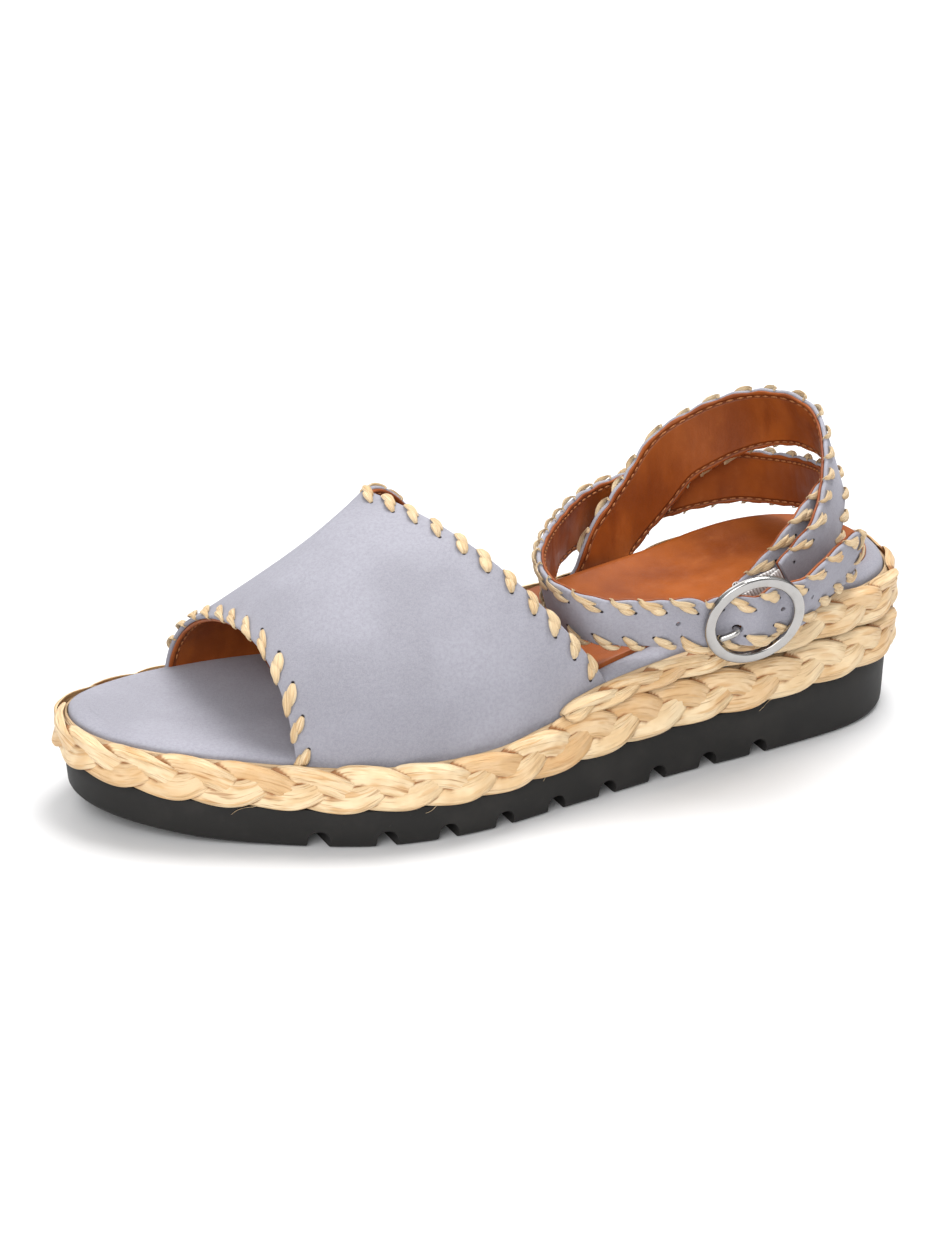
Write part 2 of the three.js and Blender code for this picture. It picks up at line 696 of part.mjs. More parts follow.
function makeBuckleFrame() {
  const inner = ringRadius - ringBand;
  const profile = [];
  const corners = 8;
  for (let i = 0; i <= corners; i += 1) {
    const turn = (2 * Math.PI * i) / corners;
    const flat = (value) => Math.sign(value) * Math.abs(value) ** 0.6;
    profile.push(new THREE.Vector2(
      inner + (ringBand / 2) * (1 + flat(Math.cos(turn))),
      (ringWall / 2) * flat(Math.sin(turn)),
    ));
  }
  const ring = new THREE.LatheGeometry(profile, 32);
  const axes = new THREE.Matrix4().makeBasis(buckle.way, buckle.face, buckle.bar);
  ring.applyMatrix4(axes).translate(buckle.middle.x, buckle.middle.y, buckle.middle.z);
  const leg = inner + ringBand / 4;
  const bar = rod(bucklePoint(0, -leg - barRadius / 2, -barDrop), bucklePoint(0, leg + barRadius / 2, -barDrop), barRadius);
  const legs = [-leg, leg].map((across) => rod(bucklePoint(0, across, -barDrop), bucklePoint(0, across, 0), barRadius));
  return join(ring, bar, ...legs);
}

// The prong, grown on all sides: a sleeve on the bar and an arm under the strap, up through it and on to the ring
function makeProng(grow) {
  const half = prongRadius + grow;
  const sleeve = rod(bucklePoint(0, -half, -barDrop), bucklePoint(0, half, -barDrop), barRadius + clearance + sleeveWall + grow);
  const hollow = rod(bucklePoint(0, -2 * half, -barDrop), bucklePoint(0, 2 * half, -barDrop), barRadius + clearance);
  const arm = new THREE.CatmullRomCurve3([
    bucklePoint(-1.6, 0, -barDrop + 0.4),
    bucklePoint(-prongHole + 1, 0, -barDrop + 0.9),
    bucklePoint(-prongHole, 0, -barDrop / 2),
    bucklePoint(-prongHole - 0.7, 0, 0.9),
    bucklePoint(-prongHole - 2.2, 0, 1.1),
    bucklePoint(-ringRadius + ringBand + clearance, 0, 0.2),
  ]);
  const steps = 12;
  const sides = 8;
  const loops = [];
  for (let i = 0; i <= steps; i += 1) {
    const out = new THREE.Vector3().crossVectors(buckle.bar, arm.getTangent(i / steps));
    const middle = arm.getPoint(i / steps);
    if (i === steps) middle.addScaledVector(arm.getTangent(1), grow);
    const loop = [];
    for (let j = 0; j < sides; j += 1) {
      const angle = (2 * Math.PI * (j + 0.5)) / sides;
      loop.push(middle.clone()
        .addScaledVector(buckle.bar, half * Math.cos(angle))
        .addScaledVector(out, half * Math.sin(angle)));
    }
    loops.push(loop);
  }
  const solid = join(sleeve, loopSolid(loops, false));
  return grow > 0 ? solid : cut(solid, hollow);
}

// Elastic from the heel strap's end round the bar and back, as a flat loop
function makeElastic() {
  const start = heelPath[0].place;
  const bar = bucklePoint(0, 0, -barDrop);
  const back = start.clone().sub(bar);
  const slip = back.dot(buckle.bar);
  back.addScaledVector(buckle.bar, -slip);
  const reach = back.length() - 3 * clearance;
  back.normalize();
  const out = new THREE.Vector3().crossVectors(buckle.bar, back);
  if (out.y < 0) out.negate();
  const inner = barRadius + clearance;
  const line = [];
  line.push([reach, 0.25]);
  line.push([reach * 0.6, inner * 0.7]);
  for (let i = 0; i <= 8; i += 1) {
    const turn = Math.PI / 2 + (Math.PI * i) / 8;
    line.push([inner * Math.cos(turn), inner * Math.sin(turn)]);
  }
  line.push([reach * 0.6, -inner * 0.7]);
  line.push([reach, -0.25]);
  const loops = line.map(([along, side], i) => {
    const before = line[Math.max(i - 1, 0)];
    const after = line[Math.min(i + 1, line.length - 1)];
    const way = new THREE.Vector2(after[0] - before[0], after[1] - before[1]).normalize();
    const corner = (wide, thick) => bar.clone()
      .addScaledVector(back, along - way.y * thick * -1)
      .addScaledVector(out, side - way.x * thick)
      .addScaledVector(buckle.bar, (wide * elasticWidth) / 2 + (slip * Math.max(0, along)) / reach);
    return [corner(-1, elasticWall), corner(1, elasticWall), corner(1, 0), corner(-1, 0)];
  });
  return loopSolid(loops, false);
}

const vampSlot = vampShell(1.4 * clearance, vampTuck + clearance);
const vampSlots = [-clearance, clearance].map((shift) => vampSlot.clone().translate(shift, 0, 0));
const ankleSlot = ribbon(
  [footPoint(ankleBase, -strapTuck - clearance), ...anklePath],
  ankleStrapWidth + 2 * clearance,
  strapWall + 2.5 * clearance,
  7,
);
const heelSlot = ribbon(
  [...heelPath, footPoint(heelBase, -strapTuck - clearance)],
  heelStrapWidth + 2 * clearance,
  strapWall + 2.5 * clearance,
  7,
);
const ankleStrap = ribbon(anklePath, ankleStrapWidth, strapWall, 7, ankleStrapWidth / 2);
const prongRoom = makeProng(clearance);

const suede = new THREE.MeshStandardMaterial({ color: 0xa5a7b4, roughness: 0.95, metalness: 0 });
const raffia = new THREE.MeshStandardMaterial({ color: 0xe6cda0, roughness: 0.7, metalness: 0 });
const rubber = new THREE.MeshStandardMaterial({ color: 0x2d2b2a, roughness: 0.6, metalness: 0 });
const leather = new THREE.MeshStandardMaterial({ color: 0x9a5a30, roughness: 0.5, metalness: 0 });
const metal = new THREE.MeshStandardMaterial({ color: 0xc8c4be, roughness: 0.2, metalness: 1 });
const webbing = new THREE.MeshStandardMaterial({ color: 0xcdc6c0, roughness: 0.9, metalness: 0 });

const pieces = [
  ['outsole', makeOutsole(), rubber],
  ['footbed', cut(makeFootbed(), ...vampSlots, ankleSlot, heelSlot), suede],
  ['sock', makeSock(), leather],
  ['lower_braid', makeLowerBraid(), raffia],
  ['upper_braid', makeUpperBraid(), raffia],
  ['vamp', vampShell(0, vampTuck), suede],
  ['heel_strap', ribbon(heelPath, heelStrapWidth, strapWall, 7), suede],
  ['ankle_strap', cut(ankleStrap, prongRoom), suede],
  ['elastic_loop', cut(makeElastic(), prongRoom), webbing],
  ['buckle_frame', makeBuckleFrame(), metal],
  ['buckle_prong', makeProng(0), metal],
];

const sandal = new THREE.Group();
for (const [name, geometry, material] of pieces) {
  const mesh = new THREE.Mesh(geometry, material);
  mesh.name = name;
  sandal.add(mesh);
}

// The origin is on the floor, under the middle of the whole sandal
const size = new THREE.Box3().setFromObject(sandal);
sandal.position.set(-(size.min.x + size.max.x) / 2, -(size.min.y + size.max.y) / 2, -size.min.z);

export default sandal;
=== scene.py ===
# The looks of a left suede sandal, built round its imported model: raffia braids, whipped edges, lined straps
# and a buckle. Shapes are worked out in millimetres as the model has them, x from the heel's back to the
# toe, and go into the meshes in metres.
import math

import bpy
import numpy as np
from mathutils import Matrix, Vector


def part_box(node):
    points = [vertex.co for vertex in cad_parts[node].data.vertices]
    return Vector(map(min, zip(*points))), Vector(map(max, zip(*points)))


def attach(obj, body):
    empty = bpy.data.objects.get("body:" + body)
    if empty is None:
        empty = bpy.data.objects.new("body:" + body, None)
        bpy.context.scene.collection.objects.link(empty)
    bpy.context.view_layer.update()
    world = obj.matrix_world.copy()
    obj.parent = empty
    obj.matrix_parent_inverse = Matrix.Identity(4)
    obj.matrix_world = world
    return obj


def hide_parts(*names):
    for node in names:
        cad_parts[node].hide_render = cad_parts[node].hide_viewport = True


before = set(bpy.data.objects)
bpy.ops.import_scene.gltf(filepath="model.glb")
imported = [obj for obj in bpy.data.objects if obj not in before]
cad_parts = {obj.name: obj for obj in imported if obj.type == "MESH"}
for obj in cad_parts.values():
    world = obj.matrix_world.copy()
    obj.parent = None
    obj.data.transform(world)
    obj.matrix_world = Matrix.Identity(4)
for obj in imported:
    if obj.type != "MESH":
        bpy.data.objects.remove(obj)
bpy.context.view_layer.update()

MM = 0.001

# Millimetres to one of U and of V
UV_MM = 100.0

# Sole and footbed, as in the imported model
SOLE_LENGTH = 250
SOLE_BREADTH = 92
TOE_SPRING = 6
HEEL_RUBBER = 19.5
HEEL_LOWER_BRAID = 32
HEEL_UPPER_BRAID = 12.5
RUBBER_CORNER = 2.2
RUBBER_FLARE = 0.8
RUBBER_EDGE = 0.5
GROOVE_COUNT = 9
GROOVE_PITCH = 17.3
GROOVE_WIDTH = 5.8
GROOVE_HEIGHT = 5.2
FIRST_GROOVE = 0.782 * SOLE_LENGTH
RIM_RISE = 3
RIM_ROLL = 5.5
BED_DISH = 2.6
SOCK_INSET = 5
SOCK_WALL = 1.2
SOCK_EDGE = 0.5
SOCK_FRONT = 0.75 * SOLE_LENGTH
SOCK_FRONT_SLANT = 0.13
CLEARANCE = 0.3

# Braids
BRAID_SEAT = 1.5
BRAID_SCALLOP = 0.9
BRAID_OVERLAP = 0.5
ROUND_START = 6
LOWER_PLAITS = 12
UPPER_PLAITS = 6
UPPER_BRAID_REACH = 0.5 * SOLE_LENGTH

# Upper
VAMP_WALL = 2.6
VAMP_TUCK = 6
VAMP_FRONT_HEIGHT = 29.3
VAMP_REAR_HEIGHT = 56.3
VAMP_LATERAL_FULLNESS = 2.3
VAMP_MEDIAL_FULLNESS = 2
HEEL_STRAP_WIDTH = 19.5
ANKLE_STRAP_WIDTH = 17.3
STRAP_WALL = 2.2
STRAP_TUCK = 6
FOOT_SLOPE = 0.5
STRAP_RISE = 40
ELASTIC_WIDTH = 16
ELASTIC_WALL = 0.8
ELASTIC_RIB = 1.05

# Buckle
RING_RADIUS = 15
RING_BAND = 3.3
RING_WALL = 2.2
BAR_RADIUS = 1
BAR_DROP = 4.4
LEG_LEAN = 1.7
SLEEVE_WALL = 1
PRONG_RADIUS = 1
PRONG_HOLE = 5.3

# Whipped edges and thread. A whip stitch pinches the edge where it goes over it, a share of its reach on
WHIP_PITCH = 8.8
WHIP_DEPTH = 4.1
WHIP_REACH = 7.4
WHIP_OVER = 0.9
EDGE_PINCH = 0.5
THREAD_PITCH = 2.9
THREAD_INSET = 1.9

# Shares of the sole's length and breadth round the rubber's top edge, from the heel along the outer side
OUTLINE = np.array([
    (0.000, -0.010),
    (0.024, 0.200),
    (0.088, 0.320),
    (0.200, 0.378),
    (0.340, 0.416),
    (0.480, 0.477),
    (0.608, 0.527),
    (0.720, 0.491),
    (0.828, 0.348),
    (0.924, 0.193),
    (0.984, 0.020),
    (1.000, -0.160),
    (0.976, -0.315),
    (0.900, -0.421),
    (0.792, -0.474),
    (0.672, -0.437),
    (0.552, -0.363),
    (0.432, -0.308),
    (0.304, -0.324),
    (0.184, -0.359),
    (0.080, -0.321),
    (0.022, -0.200),
])

# Along the sole: toe spring, rubber, lower braid and upper braid, as shares of their full heights
SPRING, RUBBER, LOWER, UPPER = 1, 2, 3, 4
PROFILE = np.array([
    (0.00, 0.25, 0.97, 0.98, 1.05),
    (0.06, 0.03, 1.00, 1.00, 1.00),
    (0.14, 0.00, 0.97, 1.00, 0.945),
    (0.24, 0.00, 0.87, 0.965, 0.745),
    (0.36, 0.00, 0.83, 0.965, 0.49),
    (0.44, 0.00, 0.775, 0.945, 0.29),
    (0.51, 0.00, 0.70, 0.885, 0.04),
    (0.58, 0.00, 0.62, 0.79, 0.00),
    (0.70, 0.00, 0.61, 0.77, 0.00),
    (0.80, 0.00, 0.625, 0.785, 0.00),
    (0.88, 0.20, 0.68, 0.825, 0.00),
    (0.95, 0.62, 0.79, 0.86, 0.00),
    (1.00, 1.00, 0.87, 0.89, 0.00),
])

# From the vamp's front edge to its rear edge: where a section meets the sole on either side and where it
# peaks, the place of its middle, and its share of the way from the front height to the rear height. The
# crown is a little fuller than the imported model's, because the photograph's line is straighter there.
LATERAL, CROWN, MEDIAL, MIDDLE, RISE = 1, 2, 3, 4, 5
VAMP = np.array([
    (0.00, 0.802, 0.818, 0.846, 0.070, 0.00),
    (0.25, 0.710, 0.772, 0.752, 0.015, 0.34),
    (0.50, 0.618, 0.725, 0.658, -0.045, 0.62),
    (0.75, 0.526, 0.678, 0.562, -0.115, 0.84),
    (1.00, 0.435, 0.630, 0.465, -0.190, 1.00),
])

# Middle lines of the straps: along, out, up and lean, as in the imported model
ANKLE = [
    (0.230, 0.357, 0.250, 2),
    (0.202, 0.363, 0.375, -3),
    (0.174, 0.337, 0.485, -8),
    (0.144, 0.288, 0.560, -12),
    (0.114, 0.217, 0.590, -14),
    (0.092, 0.120, 0.570, -13),
    (0.082, 0.000, 0.515, -11),
    (0.081, -0.120, 0.460, -10),
    (0.097, -0.241, 0.413, -5),
    (0.124, -0.328, 0.396, -1),
    (0.168, -0.379, 0.380, 3),
    (0.216, -0.402, 0.375, 5),
    (0.260, -0.411, 0.378, 5),
    (0.300, -0.386, 0.385, 2),
    (0.338, -0.332, 0.393, -2),
    (0.372, -0.255, 0.400, -6),
    (0.401, -0.151, 0.430, 2),
    (0.426, -0.050, 0.458, 6),
    (0.447, 0.057, 0.495, 10),
    (0.459, 0.159, 0.510, 13),
    (0.462, 0.244, 0.510, 15),
    (0.452, 0.327, 0.482, 17),
    (0.432, 0.384, 0.432, 19),
    (0.403, 0.413, 0.385, 20),
    (0.370, 0.434, 0.337, 19),
    (0.345, 0.447, 0.312, 18),
]
TAIL = [
    (0.184, 0.481, 0.280, 15),
    (0.161, 0.446, 0.300, 14),
    (0.133, 0.399, 0.310, 12),
    (0.110, 0.353, 0.302, 11),
    (0.092, 0.315, 0.297, 10),
]
HEEL = [
    (0.206, 0.424, 0.320, 4),
    (0.179, 0.402, 0.400, 0),
    (0.156, 0.380, 0.480, -5),
    (0.124, 0.283, 0.610, -13),
    (0.094, 0.152, 0.765, -20),
    (0.079, 0.016, 0.900, -20),
    (0.081, -0.065, 0.945, -20),
    (0.092, -0.147, 0.955, -18),
    (0.112, -0.236, 0.910, -10),
    (0.139, -0.287, 0.855, 2),
    (0.169, -0.332, 0.770, 8),
    (0.203, -0.362, 0.665, 11),
    (0.236, -0.359, 0.470, 12),
    (0.269, -0.335, 0.320, 2),
    (0.296, -0.305, 0.192, 0),
]
HEEL_BASE = (0.312, -1)
ANKLE_BASE = (0.268, 1)
BUCKLE_ROW = (0.267, 0.517, 0.250, 15.5)
BUCKLE_TURN = 5.8
BUCKLE_CLIMB = 28
STRAP_CLIMB = 6


def smoothstep(value, low, high):
    t = np.clip((value - low) / (high - low), 0, 1)
    return t * t * (3 - 2 * t)


def unit(vectors):
    return vectors / np.maximum(np.linalg.norm(vectors, axis=-1, keepdims=True), 1e-9)


def bent(value, power):
    """A value from -1 to 1 raised to a power, with its sign kept."""
    return np.sign(value) * np.abs(value) ** power


def lengths_along(points):
    """Lengths along one path of points or several side by side, from the first point."""
    steps = np.linalg.norm(np.diff(points, axis=0), axis=-1)
    return np.concatenate([np.zeros_like(steps[:1]), np.cumsum(steps, axis=0)])


def blur(values, spread):
    """Values along a line, averaged with their neighbours on both sides."""
    padded = np.concatenate([values[:1].repeat(spread, 0), values, values[-1:].repeat(spread, 0)])
    total = np.cumsum(np.concatenate([np.zeros_like(padded[:1]), padded]), axis=0)
    return (total[2 * spread + 1:] - total[:-2 * spread - 1]) / (2 * spread + 1)


def soft_noise(x, y, seed):
    """Smooth noise from -1 to 1 over a plane, the same on each run."""
    size = 64
    lattice = np.random.default_rng(seed).uniform(-1, 1, (size, size))
    column, row = np.floor(x).astype(int), np.floor(y).astype(int)
    a, b = smoothstep(x - column, 0, 1), smoothstep(y - row, 0, 1)
    column, row = column % size, row % size
    right, above = (column + 1) % size, (row + 1) % size
    near = lattice[row, column] * (1 - a) + lattice[row, right] * a
    far = lattice[above, column] * (1 - a) + lattice[above, right] * a
    return near * (1 - b) + far * b


def read_table(rows, column, at):
    """A column of a table at places along its first column, with smooth slopes."""
    place, value = rows[:, 0], rows[:, column]
    last = len(place) - 1
    at = np.clip(at, place[0], place[-1])
    i = np.clip(np.searchsorted(place, at) - 1, 0, last - 1)
    before, after = np.maximum(i - 1, 0), np.minimum(i + 2, last)
    span = place[i + 1] - place[i]
    slope_a = (value[i + 1] - value[before]) / (place[i + 1] - place[before])
    slope_b = (value[after] - value[i]) / (place[after] - place[i])
    t = (at - place[i]) / span
    bend = t * t * (3 - 2 * t)
    swing = span * t * (1 - t) * ((1 - t) * slope_a - t * slope_b)
    return value[i] * (1 - bend) + value[i + 1] * bend + swing


def ground_height(x):
    return TOE_SPRING * np.maximum(0, read_table(PROFILE, SPRING, x / SOLE_LENGTH))


def rubber_height(x):
    return HEEL_RUBBER * read_table(PROFILE, RUBBER, x / SOLE_LENGTH)


def lower_height(x):
    return HEEL_LOWER_BRAID * read_table(PROFILE, LOWER, x / SOLE_LENGTH)


def rim_height(x):
    return lower_height(x) + HEEL_UPPER_BRAID * np.maximum(0, read_table(PROFILE, UPPER, x / SOLE_LENGTH))


class Line:
    """A smooth line through points, closed or open, read at shares of its length."""

    def __init__(self, points, closed):
        points = np.asarray(points, float)
        if closed:
            around = np.concatenate([points[-1:], points, points[:2]])
            gaps = np.ones(len(around) - 1)
        else:
            around = np.concatenate([2 * points[:1] - points[1:2], points, 2 * points[-1:] - points[-2:-1]])
            gaps = np.sqrt(np.linalg.norm(np.diff(around, axis=0), axis=1))
        p0, p1, p2, p3 = around[:-3], around[1:-2], around[2:-1], around[3:]
        g0, g1, g2 = gaps[:-2, None], gaps[1:-1, None], gaps[2:, None]
        leave = ((p1 - p0) / g0 - (p2 - p0) / (g0 + g1) + (p2 - p1) / g1) * g1
        arrive = ((p2 - p1) / g1 - (p3 - p1) / (g1 + g2) + (p3 - p2) / g2) * g1
        self.terms = [p1, leave, 3 * (p2 - p1) - 2 * leave - arrive, 2 * (p1 - p2) + leave + arrive]
        self.times = np.linspace(0, len(p1), 100 * len(p1) + 1)
        self.lengths = lengths_along(self.point(self.times))
        self.length = self.lengths[-1]

    def _part(self, time):
        """How far into its part of the line each time is, and that part's four terms."""
        row = np.clip(np.floor(time).astype(int), 0, len(self.terms[0]) - 1)
        return np.asarray(time - row)[..., None], [term[row] for term in self.terms]

    def point(self, time):
        t, (a, b, c, d) = self._part(time)
        return a + b * t + c * t ** 2 + d * t ** 3

    def way(self, time):
        t, (_, b, c, d) = self._part(time)
        return unit(b + 2 * c * t + 3 * d * t ** 2)

    def time_at(self, length):
        return np.interp(length, self.lengths, self.times)


outline = Line(OUTLINE * (SOLE_LENGTH, SOLE_BREADTH), closed=True)


def edge_point(share, offset):
    """Points of the outline at shares of its length, moved outwards: x and y."""
    time = outline.time_at(np.mod(share, 1) * outline.length)
    point, way = outline.point(time), outline.way(time)
    return point[..., 0] - way[..., 1] * offset, point[..., 1] + way[..., 0] * offset


def edge_share(x, side, offset=0):
    """The share of the outline where its offset curve reaches x, on the outer (1) or inner (-1) side."""
    shares = np.linspace(0 if side > 0 else 1, 0.49, 2000)
    reach = np.maximum.accumulate(edge_point(shares, offset)[0])
    return np.interp(x, reach, shares)


def edge_side(x, side, offset):
    return edge_point(edge_share(x, side, offset), offset)[1]


def ring(offset, height_of, steps=320):
    """Points round the outline, moved outwards, with heights from their place along the sole."""
    x, y = edge_point(np.arange(steps) / steps, offset)
    return np.stack([x, y, height_of(x)], axis=-1)


# The model's own place in the frame, from the box of its rubber sole
sole_low = Vector(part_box("outsole")[0]) / MM
widest = ring(0, rubber_height, 96)
ORIGIN = np.array([sole_low.x - widest[:, 0].min(), sole_low.y - widest[:, 1].min(), 0])


# Mesh helpers

def only(piece):
    """Selects one object alone and makes it the active one."""
    bpy.ops.object.select_all(action="DESELECT")
    piece.select_set(True)
    bpy.context.view_layer.objects.active = piece


def edit_all(*operators):
    """Runs operators on the whole of the active mesh."""
    bpy.ops.object.mode_set(mode="EDIT")
    bpy.ops.mesh.select_all(action="SELECT")
    for operator, words in operators:
        operator(**words)
    bpy.ops.object.mode_set(mode="OBJECT")


def place_points(piece, points):
    """Moves a mesh's vertices to points in the model's millimetres."""
    piece.data.vertices.foreach_set("co", ((points + ORIGIN) * MM).astype(np.float32).ravel())
    piece.data.update()


def set_uv(piece, values):
    """Gives each corner of a mesh its vertex's pair of values."""
    corners = np.zeros(len(piece.data.loops), np.int32)
    piece.data.loops.foreach_get("vertex_index", corners)
    layer = piece.data.uv_layers.active
    layer.data.foreach_set("uv", values.reshape(-1, 2)[corners].astype(np.float32).ravel())


def fresh(operator, **words):
    """A new primitive, selected alone, with its place and turn taken into its mesh."""
    bpy.ops.object.select_all(action="DESELECT")
    operator(**words)
    bpy.ops.object.transform_apply(location=True, rotation=True, scale=True)
    return bpy.context.object


def cylinder(radius, length, middle=(0, 0, 0), turn=(0, 0, 0), sides=24):
    """A cylinder by measures in millimetres from the origin."""
    return fresh(
        bpy.ops.mesh.primitive_cylinder_add, vertices=sides, radius=radius * MM, depth=length * MM,
        location=Vector(middle) * MM, rotation=turn,
    )


def set_down(piece, turn, middle):
    """Turns a mesh made at the origin and moves it to a point in the model's millimetres."""
    piece.data.transform(Matrix.Translation(Vector((middle + ORIGIN) * MM)) @ turn.to_4x4())
    return piece


def grid_sheet(name, points, uv=None):
    """A grid primitive shaped to rows of points, with a pair of values at each as its UV."""
    rows, columns = points.shape[:2]
    piece = fresh(
        bpy.ops.mesh.primitive_grid_add, x_subdivisions=columns - 1, y_subdivisions=rows - 1, size=1,
    )
    piece.name = name
    place_points(piece, points.reshape(-1, 3))
    if uv is not None:
        set_uv(piece, uv)
    return piece


def close_up(piece, gap=0.004):
    """Joins the seams of a shaped grid and turns its faces outwards."""
    only(piece)
    edit_all(
        (bpy.ops.mesh.remove_doubles, {"threshold": gap * MM}),
        (bpy.ops.mesh.dissolve_degenerate, {"threshold": 0.2 * gap * MM}),
        (bpy.ops.mesh.normals_make_consistent, {"inside": False}),
    )
    return piece


def tube(name, loops, uv=None, joined=False, **masks):
    """A closed skin over loops of points, either joined end to end or shut at both ends. Each mask becomes
    an attribute of its points."""

    def completed(values, step=0):
        values = np.concatenate([values, values[:, :1] + step], axis=1)
        return np.concatenate([values, values[:1]] if joined else [values[:1], values, values[-1:]])

    loops = completed(loops)
    if not joined:
        loops[[0, -1]] = loops[[1, -2]].mean(axis=1, keepdims=True)
    sheet = grid_sheet(name, loops, None if uv is None else completed(uv, (0, 1)))
    for label, mask in masks.items():
        values = sheet.data.attributes.new(label, "FLOAT", "POINT").data
        values.foreach_set("value", completed(mask).astype(np.float32).ravel())
    return close_up(sheet)


def join_pieces(name, pieces):
    only(pieces[0])
    for piece in pieces:
        piece.select_set(True)
    bpy.ops.object.join()
    pieces[0].name = name
    return pieces[0]


def carve(piece, cutter):
    """Takes one closed mesh out of another."""
    only(piece)
    cut = piece.modifiers.new("cut", "BOOLEAN")
    cut.operation = "DIFFERENCE"
    cut.solver = "EXACT"
    cut.object = cutter
    bpy.ops.object.modifier_apply(modifier=cut.name)
    bpy.data.objects.remove(cutter)
    return piece


def dress(piece, material, slot_name, *nodes, sharp=None):
    """Finishes a piece: material, smooth faces, the body it rides on and the model's nodes it stands for."""
    piece.data.materials.clear()
    piece.data.materials.append(material)
    only(piece)
    if sharp is None:
        bpy.ops.object.shade_smooth()
    else:
        bpy.ops.object.shade_smooth_by_angle(angle=math.radians(sharp))
    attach(piece, "root")
    if nodes:
        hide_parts(*nodes)
    return piece


# Materials

def linear(red, green, blue):
    """A colour as 0 to 255 of a picture, as the shaders count it."""
    parts = [c / 255 for c in (red, green, blue)]
    return (*(c / 12.92 if c <= 0.04045 else ((c + 0.055) / 1.055) ** 2.4 for c in parts), 1)


SUEDE = linear(149, 148, 156)
SUEDE_PALE = linear(165, 164, 173)
SUEDE_DEEP = linear(129, 127, 136)
LEATHER = linear(161, 85, 31)
# Grain tone, and also painted shade in the lining's creases
LEATHER_DEEP = linear(120, 55, 16)
LEATHER_RUBBED = linear(182, 108, 48)
# Painted shade along the sunk seam
LEATHER_SEAM_SHADE = linear(84, 38, 16)
RAFFIA = linear(224, 192, 147)
RAFFIA_PALE = linear(238, 214, 175)
RAFFIA_TAN = linear(207, 160, 106)
# Also the painted contact shade between strands and the painted shade on the backing
RAFFIA_DEEP = linear(150, 96, 50)
RUBBER_GREY = linear(38, 37, 36)
RUBBER_PALE = linear(58, 56, 54)
STEEL = linear(178, 176, 174)
STEEL_HAZE = linear(160, 157, 153)
ELASTIC_PALE = linear(226, 222, 220)
# Painted shade in the rib troughs, and also random ply tone
ELASTIC_DEEP = linear(172, 164, 160)
ELASTIC_LINE = linear(116, 96, 92)
THREAD_BROWN = linear(176, 112, 64)
THREAD_DEEP = linear(134, 78, 40)
# Painted shade for the insides of the whip holes
HOLE_SHADE = linear(38, 34, 36)


class Nodes:
    """A node tree that is built by short calls."""

    def __init__(self, tree):
        self.tree = tree

    def add(self, kind, settings=None, **inputs):
        node = self.tree.nodes.new(kind)
        for name, value in (settings or {}).items():
            setattr(node, name, value)
        return self.fill(node, **inputs)

    def fill(self, node, **inputs):
        """Feeds a node's inputs, by their names or by their numbers after an underscore."""
        for name, value in inputs.items():
            key = int(name[1:]) if name[0] == "_" else name.replace("_", " ")
            self.feed(node.inputs[key], value)
        return node

    def feed(self, socket, value):
        if isinstance(value, bpy.types.NodeSocket):
            self.tree.links.new(value, socket)
        else:
            socket.default_value = value

    def group(self, tree, **inputs):
        return self.add("ShaderNodeGroup", {"node_tree": tree}, **inputs).outputs

    def close(self, **results):
        self.fill(self.add("NodeGroupOutput"), **results)

    def math(self, operation, a, b=0.0, c=0.0):
        return self.add("ShaderNodeMath", {"operation": operation}, _0=a, _1=b, _2=c).outputs[0]

    def noise(self, vector, scale, detail=2.0, roughness=0.5):
        made = self.add("ShaderNodeTexNoise", Vector=vector, Scale=scale)
        return self.fill(made, Detail=detail, Roughness=roughness).outputs["Fac"]

    def ramp(self, value, low, high, bottom=0.0, top=1.0):
        made = self.add("ShaderNodeMapRange", {"interpolation_type": "SMOOTHSTEP"}, Value=value)
        return self.fill(made, From_Min=low, From_Max=high, To_Min=bottom, To_Max=top).outputs[0]

    def mix(self, share, a, b):
        return self.add("ShaderNodeMix", {"data_type": "RGBA"}, _0=share, _6=a, _7=b).outputs[2]

    def bump(self, height, strength, distance, normal=None):
        made = self.add("ShaderNodeBump", Height=height, Strength=strength, Distance=distance)
        if normal is not None:
            self.fill(made, Normal=normal)
        return made.outputs[0]

    def attribute(self, name):
        return self.add("ShaderNodeAttribute", {"attribute_name": name}).outputs["Fac"]

    def object_place(self):
        return self.add("ShaderNodeTexCoord").outputs["Object"]

    def uv_place(self):
        split = self.add("ShaderNodeSeparateXYZ", Vector=self.add("ShaderNodeUVMap").outputs[0])
        return split.outputs[0], split.outputs[1]

    def sewn_place(self):
        """Millimetres along a sewn layer and in from its nearer edge. V goes from 0 to 1 across it."""
        along, inwards = self.uv_place()
        nearer = self.math("MINIMUM", inwards, self.math("SUBTRACT", 1.0, inwards))
        return self.math("MULTIPLY", along, UV_MM), self.math("MULTIPLY", nearer, UV_MM)


def node_group(name, inputs, outputs):
    """An empty group with named sockets: the group, its nodes, and what comes in."""
    group = bpy.data.node_groups.new(name, "ShaderNodeTree")
    kinds = {"float": "NodeSocketFloat", "vector": "NodeSocketVector", "colour": "NodeSocketColor"}
    for side, sockets in (("INPUT", inputs), ("OUTPUT", outputs)):
        for label, kind in sockets.items():
            group.interface.new_socket(label, in_out=side, socket_type=kinds[kind])
    nodes = Nodes(group)
    return group, nodes, nodes.add("NodeGroupInput").outputs


